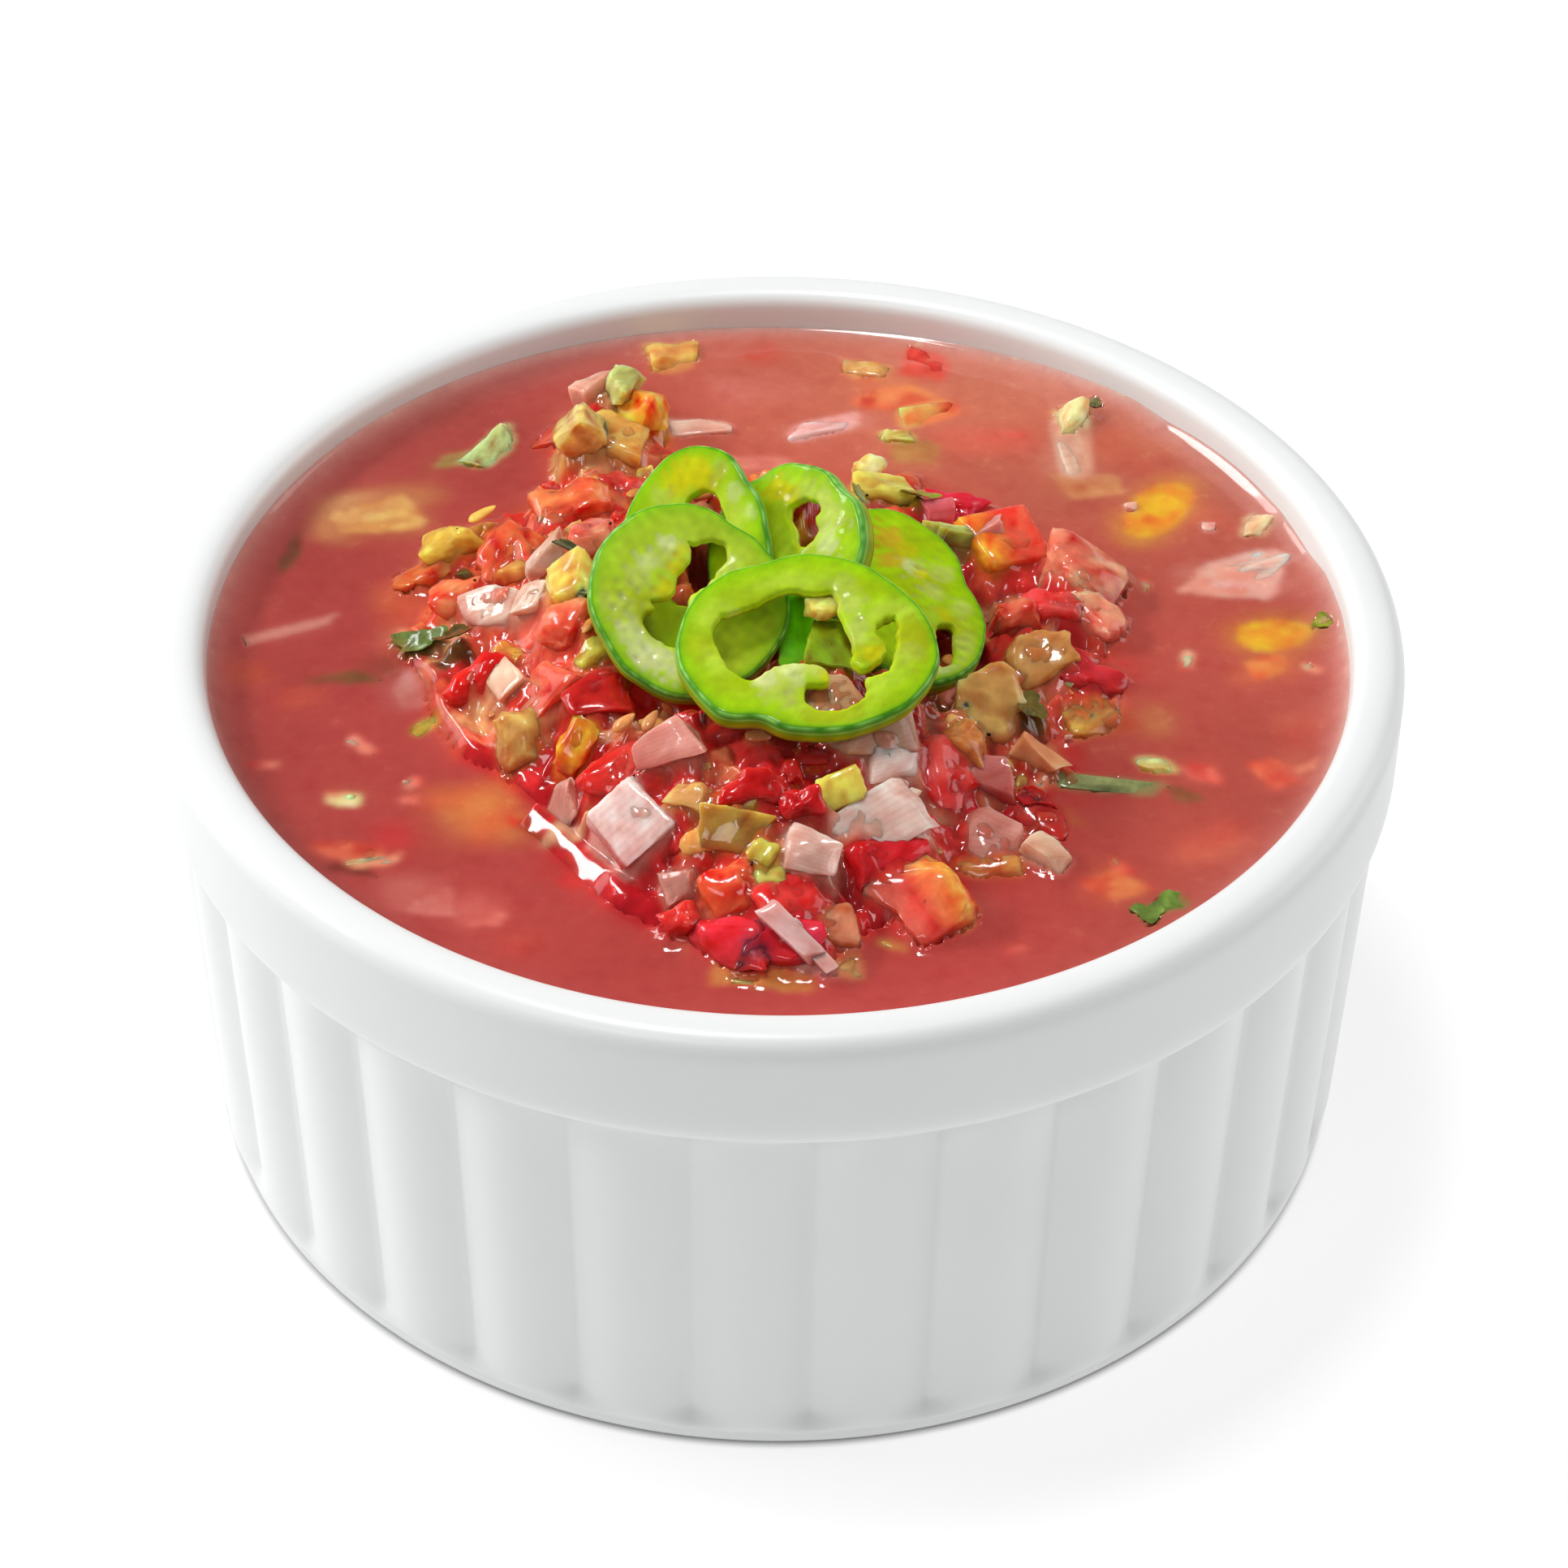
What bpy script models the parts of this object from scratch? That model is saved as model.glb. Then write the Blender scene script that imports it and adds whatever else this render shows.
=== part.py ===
# Tomato salsa in a white fluted ramekin, with slices of green pepper on top.
# Metres, +Z up. The origin is the centre of the dish's base, on the surface that it stands on.
# Angles called theta run from the front (-Y) towards the right (+X).

import math

import bmesh
import bpy
from mathutils import Vector

for old in list(bpy.data.objects):
    bpy.data.objects.remove(old, do_unlink=True)

MM = 0.001

# ---------------------------------------------------------------- dish
RIM_R = 45.0            # outer radius of the plain band and the rim
DISH_H = 41.0           # height to the top of the rim
BAND_LOW_Z = 31.8       # lower edge of the plain band
BODY_TOP_R = 44.2       # crest radius of the ribs, just under the band
BODY_LOW_R = 43.1       # crest radius of the ribs at the base
RIB_COUNT = 32
RIB_DEPTH = 0.9         # how far the valleys lie behind the crests
RIB_VALLEY_DEG = 3.6    # theta of one valley
RIB_COLUMNS = 4         # columns of faces on each rib
RIB_LOW_Z = 2.0         # where the ribs begin above the foot
LIP_R = 41.2            # inner radius of the rim
WALL_LOW_R = 38.6       # inner radius where the wall meets the corner
FLOOR_Z = 4.6           # inside floor
CORNER_R = 5.0          # rounding between wall and floor
FOOT_OUT_R = 42.3
FOOT_IN_R = 37.0
FOOT_RECESS = 1.3       # the base is hollowed inside its foot ring

# ---------------------------------------------------------------- salsa
GAP = 0.3               # between pieces that touch
LEVEL_Z = 37.8          # surface of the liquid
POCKET_Z = 29.0         # how deep the heap reaches into the liquid
SPOKES = 72
HEAP_RINGS = 13
HEAP_CX, HEAP_CY = 0.0, -6.0

# ---------------------------------------------------------------- pepper slices
SLICE_T = 1.7           # thickness
SLICE_STEPS = 44
SLICE_EDGE = 0.22       # rounding of the cut edge
# Each slice: centre, slope of its plane along X and Y, half lengths, turn in its plane,
# wall thickness, unevenness, and the membranes that reach inwards (angle, reach, width).
SLICES = {
    "pepper_slice_front": dict(at=(1.92, -12.4, 47.9), slope=(-0.06, 0.23), half=(8.91, 7.77), turn=0.09, wall=2.1,
                               lobes=((2, 0.010, 0.4), (3, 0.022, 1.9), (5, 0.010, 0.6)), membranes=((-2.25, 2.6, 0.42), (0.55, 3.0, 0.34))),
    "pepper_slice_left": dict(at=(-6.45, -6.6, 47.2), slope=(-0.13, 0.50), half=(6.94, 7.47), turn=0.30, wall=1.9,
                              lobes=((3, 0.020, 0.3), (4, 0.010, 1.1)), membranes=((2.6, 2.4, 0.75), (-1.9, 1.2, 0.5))),
    "pepper_slice_back_left": dict(at=(-6.13, 0.21, 45.57), slope=(0.37, 0.61), half=(5.87, 8.55), turn=-0.20, wall=1.8,
                                   lobes=((3, 0.018, 2.2), (4, 0.012, 0.2)), membranes=((1.9, 1.6, 0.6), (-1.2, 1.7, 0.5))),
    "pepper_slice_back": dict(at=(0.68, 0.68, 45.78), slope=(0.84, 0.52), half=(6.63, 7.51), turn=0.26, wall=1.8,
                              lobes=((3, 0.018, 0.9), (5, 0.010, 2.0)), membranes=((0.9, 1.7, 0.6), (-2.4, 1.5, 0.5))),
    "pepper_slice_right": dict(at=(8.82, -0.28, 42.59), slope=(-0.30, 0.11), half=(5.81, 8.73), turn=0.21, wall=1.8,
                               lobes=((3, 0.020, 1.4), (4, 0.012, 2.6)), membranes=((1.2, 1.5, 0.8), (-0.4, 1.8, 0.4))),
}


def material(name, colour, roughness, metallic=0.0):
    m = bpy.data.materials.new(name)
    m.use_nodes = True
    shader = m.node_tree.nodes["Principled BSDF"]
    shader.inputs["Base Color"].default_value = (*colour, 1.0)
    shader.inputs["Roughness"].default_value = roughness
    shader.inputs["Metallic"].default_value = metallic
    m.diffuse_color = (*colour, 1.0)
    return m


def bridge(bm, low, high):
    """Faces between two closed loops. One loop may have twice as many points as the other, or be a single point."""
    n, m = len(low), len(high)
    if n == 1 or m == 1:
        tip, loop = (low[0], high) if n == 1 else (high[0], low)
        for i in range(len(loop)):
            bm.faces.new((tip, loop[i], loop[(i + 1) % len(loop)]))
    elif n == m:
        for i in range(n):
            j = (i + 1) % n
            bm.faces.new((low[i], low[j], high[j], high[i]))
    else:
        few, many = (low, high) if n < m else (high, low)
        for i in range(len(few)):
            a, b = few[i], few[(i + 1) % len(few)]
            c, d, e = many[2 * i], many[2 * i + 1], many[(2 * i + 2) % len(many)]
            bm.faces.new((a, c, d))
            bm.faces.new((a, d, b))
            bm.faces.new((b, d, e))


def closed_body(name, loops, mat, closed_round=False, sharp=35.0):
    """A body from loops of points in millimetres, bridged one to the next."""
    bm = bmesh.new()
    made = [[bm.verts.new(Vector(p) * MM) for p in loop] for loop in loops]
    for a, b in zip(made, made[1:]):
        bridge(bm, a, b)
    if closed_round:
        bridge(bm, made[-1], made[0])
    bmesh.ops.recalc_face_normals(bm, faces=bm.faces)
    if bm.calc_volume(signed=True) < 0:
        bmesh.ops.reverse_faces(bm, faces=bm.faces)
    bmesh.ops.triangulate(bm, faces=bm.faces, quad_method="SHORT_EDGE")
    mesh = bpy.data.meshes.new(name)
    bm.to_mesh(mesh)
    bm.free()
    mesh.shade_smooth()
    mesh.set_sharp_from_angle(angle=math.radians(sharp))
    mesh.materials.append(mat)
    body = bpy.data.objects.new(name, mesh)
    bpy.context.scene.collection.objects.link(body)
    return body


# ---------------------------------------------------------------- dish
def rib_offset(theta_deg):
    """0 on a rib's crest, -RIB_DEPTH in the valley between two ribs. Each rib is a shallow round arch."""
    u = ((theta_deg - RIB_VALLEY_DEG) * RIB_COUNT / 360.0) % 1.0
    return -RIB_DEPTH * (2.0 * abs(u - 0.5)) ** 2


def dish_loop(radius, z, columns, rib=0.0):
    points = []
    for i in range(columns):
        theta = RIB_VALLEY_DEG + 360.0 * i / columns
        r = radius + rib * rib_offset(theta)
        t = math.radians(theta)
        points.append((r * math.sin(t), -r * math.cos(t), z))
    return points


def inner_radius(z):
    """Inside of the dish: a slightly tapered wall over a rounded corner."""
    corner_z = FLOOR_Z + CORNER_R
    if z >= corner_z:
        k = (z - corner_z) / (DISH_H - 1.4 - corner_z)
        return WALL_LOW_R + (LIP_R - WALL_LOW_R) * min(k, 1.0)
    drop = (corner_z - z) / CORNER_R
    return WALL_LOW_R - CORNER_R * (1.0 - math.sqrt(max(0.0, 1.0 - drop * drop)))


def make_dish():
    many = RIB_COUNT * RIB_COLUMNS
    few = many // 2
    loops = [
        [(0.0, 0.0, FOOT_RECESS)],
        dish_loop(FOOT_IN_R - 1.2, FOOT_RECESS, few),
        dish_loop(FOOT_IN_R, 0.0, few),
        dish_loop(FOOT_OUT_R, 0.0, few),
        dish_loop(FOOT_OUT_R + 0.45, 0.45, many),
        dish_loop(FOOT_OUT_R + 0.5, RIB_LOW_Z - 0.5, many),
        dish_loop(BODY_LOW_R - 0.25, RIB_LOW_Z + 0.5, many, 0.45),
        dish_loop(BODY_LOW_R, RIB_LOW_Z + 2.0, many, 1.0),
        dish_loop(BODY_TOP_R, BAND_LOW_Z - 0.9, many, 1.0),
        dish_loop(BODY_TOP_R - 0.1, BAND_LOW_Z - 0.25, few),
        dish_loop(RIM_R - 0.35, BAND_LOW_Z, few),
        dish_loop(RIM_R, BAND_LOW_Z + 0.7, few),
        dish_loop(RIM_R, DISH_H - 1.8, few),
        dish_loop(RIM_R - 0.6, DISH_H - 0.5, few),
        dish_loop(RIM_R - 1.7, DISH_H, few),
        dish_loop(LIP_R + 0.8, DISH_H - 0.35, few),
        dish_loop(LIP_R, DISH_H - 1.4, few),
    ]
    for z in (FLOOR_Z + CORNER_R, FLOOR_Z + CORNER_R * 0.35, FLOOR_Z):
        loops.append(dish_loop(inner_radius(z), z, few))
    loops.append([(0.0, 0.0, FLOOR_Z)])
    return closed_body("ramekin", loops, material("white_glazed_porcelain", (0.86, 0.86, 0.85), 0.12))


# ---------------------------------------------------------------- heap of diced vegetables
def bump(angle, centre, width):
    d = (angle - centre + 180.0) % 360.0 - 180.0
    return math.exp(-((d / width) ** 2))


def heap_radius(angle):
    """Outline of the heap at the liquid's surface, as a radius about (HEAP_CX, HEAP_CY). The angle runs from +X towards +Y."""
    r = 27.6
    r += 13.6 * bump(angle, 113.0, 9.5)       # the arm that runs to the back left
    r += 4.6 * bump(angle, 146.0, 20.0)
    r += 2.6 * bump(angle, 60.0, 28.0)
    r -= 6.6 * bump(angle, -145.0, 24.0)
    r -= 2.2 * bump(angle, -25.0, 30.0)
    r += 1.4 * bump(angle, -85.0, 18.0)
    a = math.radians(angle)
    r += 0.55 * math.sin(11 * a + 0.7) + 0.45 * math.sin(17 * a + 2.1) + 0.35 * math.sin(23 * a + 4.0)
    return r


def outline_point(angle, z, extra=0.0):
    a = math.radians(angle)
    r = heap_radius(angle) + extra
    return (HEAP_CX + r * math.cos(a), HEAP_CY + r * math.sin(a), z)


def lumps(x, y):
    """Unevenness at the size of the diced pieces."""
    s = math.sin(1.31 * x + 0.42 * y + 0.4) * math.sin(1.17 * y - 0.37 * x + 1.3)
    s += 0.7 * math.sin(0.83 * x - 0.95 * y + 2.2) * math.sin(0.71 * x + 1.07 * y + 0.2)
    s += 0.5 * math.sin(1.9 * x + 1.2) * math.sin(1.7 * y + 0.3)
    return s


def mound_height(x, y):
    """Height of the heap before the slices press on it."""
    across = (x + 0.5) / (12.5 if x > -0.5 else 15.0)
    along = (y + 1.5) / (15.0 if y > -1.5 else 22.0)
    h = 13.0 * math.exp(-((across ** 2 + along ** 2) ** 1.3))
    h += 1.6 * math.exp(-(((x + 19.0) / 7.0) ** 2 + ((y - 3.0) / 10.0) ** 2))
    h += 1.6 * math.exp(-(((x - 19.0) / 7.0) ** 2 + ((y - 5.0) / 10.0) ** 2))
    # arm to the back left, about the line from (-17, 18) to (-11, 38)
    t = max(0.0, min(1.0, ((x + 17.0) * 6.0 + (y - 18.0) * 20.0) / 436.0))
    d2 = (x + 17.0 - 6.0 * t) ** 2 + (y - 18.0 - 20.0 * t) ** 2
    h += 2.0 * math.exp(-d2 / 22.0)
    h += 0.55 * lumps(x, y)
    return LEVEL_Z + 0.7 + max(0.0, h)


def slice_frame(s):
    sx, sy = s["slope"]
    normal = Vector((-sx, -sy, 1.0)).normalized()
    ex = Vector((1.0, 0.0, sx)).normalized()
    ey = normal.cross(ex)
    c, n = math.cos(s["turn"]), math.sin(s["turn"])
    return normal, ex * c + ey * n, ey * c - ex * n


def slice_radius(s, phi):
    """Outer outline of a slice as a radius in its own plane."""
    a, b = s["half"]
    r = a * b / math.hypot(b * math.cos(phi), a * math.sin(phi))
    k = 1.0
    for n, size, phase in s["lobes"]:
        k += size * math.cos(n * phi + phase)
    return r * k


def slice_hollow(s, phi):
    """Inner outline: the outer one less the wall, with membranes reaching inwards."""
    r = slice_radius(s, phi) - s["wall"]
    for at, reach, width in s["membranes"]:
        d = (phi - at + math.pi) % (2 * math.pi) - math.pi
        r -= reach * math.exp(-((d / width) ** 2))
    return r + 0.10 * math.sin(9 * phi + 1.0) + 0.07 * math.sin(14 * phi + 2.4)


def rest_height(x, y):
    """Highest point that the heap may have here under the slices that lie on it."""
    limit = 1000.0
    for s in SLICES.values():
        normal, ex, ey = slice_frame(s)
        cx, cy, cz = s["at"]
        sx, sy = s["slope"]
        z = cz + sx * (x - cx) + sy * (y - cy)
        d = Vector((x - cx, y - cy, z - cz))
        u, v = d.dot(ex), d.dot(ey)
        if math.hypot(u, v) < slice_radius(s, math.atan2(v, u)) + 2.4:
            limit = min(limit, z - (SLICE_T / 2 + GAP + 0.05) / normal.z)
    return limit


def make_heap():
    loops = [[(HEAP_CX, HEAP_CY, POCKET_Z)]]
    angles = [360.0 * i / SPOKES for i in range(SPOKES)]
    loops.append([outline_point(a, POCKET_Z, -0.6) for a in angles])
    loops.append([outline_point(a, LEVEL_Z - 0.4) for a in angles])
    for k in range(HEAP_RINGS, 0, -1):
        share = k / HEAP_RINGS
        loop = []
        for a in angles:
            r = heap_radius(a) * share
            x = HEAP_CX + r * math.cos(math.radians(a))
            y = HEAP_CY + r * math.sin(math.radians(a))
            z = min(mound_height(x, y), rest_height(x, y))
            if k == HEAP_RINGS:
                z = LEVEL_Z + 0.45 * (z - LEVEL_Z)
            loop.append((x, y, z))
        loops.append(loop)
    loops.append([(HEAP_CX, HEAP_CY, min(mound_height(HEAP_CX, HEAP_CY), rest_height(HEAP_CX, HEAP_CY)))])
    return closed_body("salsa_heap", loops, material("diced_vegetables", (0.62, 0.10, 0.06), 0.25))


def make_liquid():
    """The liquid fills the dish to LEVEL_Z, with a pocket that the heap sits in."""
    angles = [360.0 * i / SPOKES for i in range(SPOKES)]

    def wall_loop(z, less=GAP):
        # points of the dish's inner wall, seen from the heap's centre
        big = inner_radius(z) - less
        loop = []
        for a in angles:
            c, s = math.cos(math.radians(a)), math.sin(math.radians(a))
            b = HEAP_CX * c + HEAP_CY * s
            t = -b + math.sqrt(b * b + big * big - HEAP_CX ** 2 - HEAP_CY ** 2)
            loop.append((HEAP_CX + t * c, HEAP_CY + t * s, z))
        return loop

    floor = FLOOR_Z + GAP
    loops = [[(HEAP_CX, HEAP_CY, floor)]]
    base = wall_loop(FLOOR_Z + 0.01, GAP)
    loops.append([(x, y, floor) for x, y, _ in base])
    loops.append([(x, y, z + GAP) for x, y, z in wall_loop(FLOOR_Z + CORNER_R * 0.35, GAP + 0.1)])
    loops.append(wall_loop(FLOOR_Z + CORNER_R))
    loops.append(wall_loop(LEVEL_Z))
    loops.append([outline_point(a, LEVEL_Z, GAP + 0.15) for a in angles])
    loops.append([outline_point(a, POCKET_Z - GAP, GAP + 0.15 - 0.6) for a in angles])
    loops.append([(HEAP_CX, HEAP_CY, POCKET_Z - GAP)])
    return closed_body("salsa_liquid", loops, material("tomato_liquid", (0.50, 0.06, 0.05), 0.08))


# ---------------------------------------------------------------- pepper slices
def make_slice(name, s, mat):
    normal, ex, ey = slice_frame(s)
    centre = Vector(s["at"])
    half = SLICE_T / 2

    def loop(radius, inset, height):
        points = []
        for i in range(SLICE_STEPS):
            phi = 2 * math.pi * i / SLICE_STEPS
            r = radius(s, phi) + inset
            points.append(centre + ex * (r * math.cos(phi)) + ey * (r * math.sin(phi)) + normal * height)
        return points

    loops = [
        loop(slice_hollow, 0.0, -half),
        loop(slice_radius, -SLICE_EDGE, -half),
        loop(slice_radius, 0.0, -half + SLICE_EDGE),
        loop(slice_radius, 0.0, half - SLICE_EDGE),
        loop(slice_radius, -SLICE_EDGE, half),
        loop(slice_hollow, 0.0, half),
    ]
    return closed_body(name, loops, mat, closed_round=True)


make_dish()
make_liquid()
make_heap()
pepper = material("green_pepper", (0.33, 0.62, 0.04), 0.28)
for slice_name, slice_sizes in SLICES.items():
    make_slice(slice_name, slice_sizes, pepper)
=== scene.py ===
import math

import bpy
import numpy as np
from mathutils import Matrix, Vector
from mathutils.bvhtree import BVHTree
from mathutils.geometry import delaunay_2d_cdt
from mathutils.kdtree import KDTree


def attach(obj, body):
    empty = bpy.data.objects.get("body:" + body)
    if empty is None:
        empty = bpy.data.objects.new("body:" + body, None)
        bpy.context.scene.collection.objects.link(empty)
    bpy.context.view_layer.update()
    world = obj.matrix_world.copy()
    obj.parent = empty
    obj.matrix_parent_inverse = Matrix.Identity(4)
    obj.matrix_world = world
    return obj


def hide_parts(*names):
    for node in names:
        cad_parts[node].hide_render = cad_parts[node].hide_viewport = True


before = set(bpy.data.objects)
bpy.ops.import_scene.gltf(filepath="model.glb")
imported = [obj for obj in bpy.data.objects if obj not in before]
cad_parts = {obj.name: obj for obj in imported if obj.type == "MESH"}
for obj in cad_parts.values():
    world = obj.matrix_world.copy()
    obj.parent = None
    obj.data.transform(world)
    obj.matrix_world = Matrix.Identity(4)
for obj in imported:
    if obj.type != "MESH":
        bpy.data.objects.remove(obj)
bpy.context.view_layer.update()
MM = 0.001

# ------------------------------------------------------------------ sizes, in millimetres, as in the model
RIM_R, DISH_H, BAND_LOW_Z = 45.0, 41.0, 31.8
BODY_TOP_R, BODY_LOW_R = 44.2, 43.1
RIB_COUNT, RIB_DEPTH, RIB_VALLEY_DEG, RIB_LOW_Z = 32, 1.1, 3.6, 1.7
LIP_R, WALL_LOW_R, FLOOR_Z, CORNER_R = 41.2, 38.6, 4.6, 5.0
FOOT_OUT_R, FOOT_IN_R, FOOT_RECESS = 42.3, 37.0, 1.3
LEVEL = 37.8
HEAP_CX, HEAP_CY = 0.0, -6.0
SLICE_T = 1.7
SLICES = {
    "pepper_slice_front": dict(at=(1.92, -12.4, 47.9), slope=(-0.06, 0.23), half=(8.91, 7.77), turn=0.09,
                               lobes=((2, 0.010, 0.4), (3, 0.022, 1.9), (5, 0.010, 0.6))),
    "pepper_slice_left": dict(at=(-6.45, -6.6, 47.2), slope=(-0.13, 0.50), half=(6.94, 7.47), turn=0.30,
                              lobes=((3, 0.020, 0.3), (4, 0.010, 1.1))),
    "pepper_slice_back_left": dict(at=(-6.13, 0.21, 45.57), slope=(0.37, 0.61), half=(5.87, 8.55), turn=-0.20,
                                   lobes=((3, 0.018, 2.2), (4, 0.012, 0.2))),
    "pepper_slice_back": dict(at=(0.68, 0.68, 45.78), slope=(0.84, 0.52), half=(6.63, 7.51), turn=0.26,
                              lobes=((3, 0.018, 0.9), (5, 0.010, 2.0))),
    "pepper_slice_right": dict(at=(8.82, -0.28, 42.59), slope=(-0.30, 0.11), half=(5.81, 8.73), turn=0.21,
                               lobes=((3, 0.020, 1.4), (4, 0.012, 2.6))),
}

# ------------------------------------------------------------------ camera: the photograph's viewpoint
CAM_F = 5500.0                       # focal length in pixels of a 1932 pixel frame
CAM_EL, CAM_ROLL, CAM_DIST = math.radians(40.712), 0.01005, 334.6
CAM_AIM = np.array([0.0, 0.0, 20.48])
CAM_OFF = (-8.8, 59.1)               # where the aim point lies, from the frame's centre, in pixels
_back = np.array([0.0, -math.cos(CAM_EL), math.sin(CAM_EL)])
CAM_AT = CAM_AIM + _back * CAM_DIST
_r0 = np.array([1.0, 0.0, 0.0])
_u0 = np.cross(_r0, -_back)
_c, _s = math.cos(CAM_ROLL), math.sin(CAM_ROLL)
CAM_R, CAM_U = _c * _r0 + _s * _u0, -_s * _r0 + _c * _u0
CAM_FWD = -_back - CAM_R * (CAM_OFF[0] / CAM_F) + CAM_U * (CAM_OFF[1] / CAM_F)
CAM_FWD /= np.linalg.norm(CAM_FWD)
CAM_R = CAM_R - CAM_FWD * (CAM_R @ CAM_FWD)
CAM_R /= np.linalg.norm(CAM_R)
CAM_U = np.cross(CAM_R, CAM_FWD)


def ray(px, py):
    d = CAM_FWD + CAM_R * ((px - 966.0) / CAM_F) - CAM_U * ((py - 966.0) / CAM_F)
    return d / np.linalg.norm(d)


# ------------------------------------------------------------------ the heap's outline and height, as in the model
def bump(angle, centre, width):
    d = (angle - centre + 180.0) % 360.0 - 180.0
    return np.exp(-((d / width) ** 2))


def heap_radius(angle):
    r = 27.6 + 13.6 * bump(angle, 113.0, 9.5) + 4.6 * bump(angle, 146.0, 20.0) + 2.6 * bump(angle, 60.0, 28.0)
    r = r - 6.6 * bump(angle, -145.0, 24.0) - 2.2 * bump(angle, -25.0, 30.0) + 1.4 * bump(angle, -85.0, 18.0)
    a = np.radians(angle)
    return r + 0.55 * np.sin(11 * a + 0.7) + 0.45 * np.sin(17 * a + 2.1) + 0.35 * np.sin(23 * a + 4.0)


def lumps(x, y):
    s = np.sin(1.31 * x + 0.42 * y + 0.4) * np.sin(1.17 * y - 0.37 * x + 1.3)
    s = s + 0.7 * np.sin(0.83 * x - 0.95 * y + 2.2) * np.sin(0.71 * x + 1.07 * y + 0.2)
    return s + 0.5 * np.sin(1.9 * x + 1.2) * np.sin(1.7 * y + 0.3)


def mound_height(x, y):
    across = (x + 0.5) / np.where(x > -0.5, 12.5, 15.0)
    along = (y + 1.5) / np.where(y > -1.5, 15.0, 22.0)
    h = 13.0 * np.exp(-((across ** 2 + along ** 2) ** 1.3))
    h = h + 1.6 * np.exp(-(((x + 19.0) / 7.0) ** 2 + ((y - 3.0) / 10.0) ** 2))
    h = h + 1.6 * np.exp(-(((x - 19.0) / 7.0) ** 2 + ((y - 5.0) / 10.0) ** 2))
    t = np.clip(((x + 17.0) * 6.0 + (y - 18.0) * 20.0) / 436.0, 0.0, 1.0)
    d2 = (x + 17.0 - 6.0 * t) ** 2 + (y - 18.0 - 20.0 * t) ** 2
    h = h + 2.0 * np.exp(-d2 / 22.0) + 0.55 * lumps(x, y)
    return LEVEL + 0.7 + np.maximum(0.0, h)


def slice_frame(s):
    sx, sy = s["slope"]
    n = np.array([-sx, -sy, 1.0]); n /= np.linalg.norm(n)
    ex = np.array([1.0, 0.0, sx]); ex /= np.linalg.norm(ex)
    ey = np.cross(n, ex)
    c, t = math.cos(s["turn"]), math.sin(s["turn"])
    return n, ex * c + ey * t, ey * c - ex * t


def slice_radius(s, phi):
    a, b = s["half"]
    r = a * b / np.hypot(b * np.cos(phi), a * np.sin(phi))
    k = 1.0
    for n, size, phase in s["lobes"]:
        k = k + size * np.cos(n * phi + phase)
    return r * k


def rest_height(x, y, margin=2.4, gap=0.35, only=None):
    x, y = np.asarray(x, float), np.asarray(y, float)
    limit = np.full(np.broadcast(x, y).shape, 1000.0)
    for s in SLICES.values() if only is None else (SLICES[only],):
        n, ex, ey = slice_frame(s)
        cx, cy, cz = s["at"]
        z = cz + s["slope"][0] * (x - cx) + s["slope"][1] * (y - cy)
        u = (x - cx) * ex[0] + (y - cy) * ex[1] + (z - cz) * ex[2]
        v = (x - cx) * ey[0] + (y - cy) * ey[1] + (z - cz) * ey[2]
        under = np.hypot(u, v) < slice_radius(s, np.arctan2(v, u)) + margin
        limit = np.where(under, np.minimum(limit, z - (SLICE_T / 2 + gap) / n[2]), limit)
    return limit


def heap_share(x, y):
    """0 at the heap's centre, 1 on its outline at the liquid's surface."""
    dx, dy = x - HEAP_CX, y - HEAP_CY
    return np.hypot(dx, dy) / heap_radius(np.degrees(np.arctan2(dy, dx)))


def lip_place(x, y):
    """Millimetres along the straight part of the heap's wet lip and outwards from it, and the part's length."""
    a, b = LIP_ENDS
    way = (b - a)[:2]
    far = float(np.hypot(*way))
    way = way / far
    along = (x - a[0]) * way[0] + (y - a[1]) * way[1]
    out_by = (x - a[0]) * way[1] - (y - a[1]) * way[0] + 0.04 * np.sin(along * 0.9 + 0.6) + 0.010 * np.sin(along * 2.7 + 1.0)
    return along, out_by, far


def lip_film(along, out_by, far):
    """Height of the juice on the lip: a brow, then a slope of nearly even steepness down to the liquid."""
    o, t = np.minimum(out_by, 1.8) + 0.08, along / far
    curl = 0.120 - 0.060 * np.exp(-((t - 0.13) / 0.09) ** 2) - 0.080 * np.exp(-((t - 0.84) / 0.12) ** 2)
    return LEVEL + 1.10 - 0.74 * 0.5 * (o + np.sqrt(o ** 2 + 0.12 ** 2)) - curl * np.clip(o, 0, 9) ** 2


def heap_top(x, y):
    z = np.minimum(mound_height(x, y), rest_height(x, y))
    return z


def inner_radius(z):
    corner = FLOOR_Z + CORNER_R
    if z >= corner:
        return WALL_LOW_R + (LIP_R - WALL_LOW_R) * min((z - corner) / (DISH_H - 1.4 - corner), 1.0)
    drop = (corner - z) / CORNER_R
    return WALL_LOW_R - CORNER_R * (1.0 - math.sqrt(max(0.0, 1.0 - drop * drop)))


# ------------------------------------------------------------------ mesh helpers
TINT_GAIN = 0.98                     # colours below are as seen in the photograph; the studio light is brighter than 1


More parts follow.
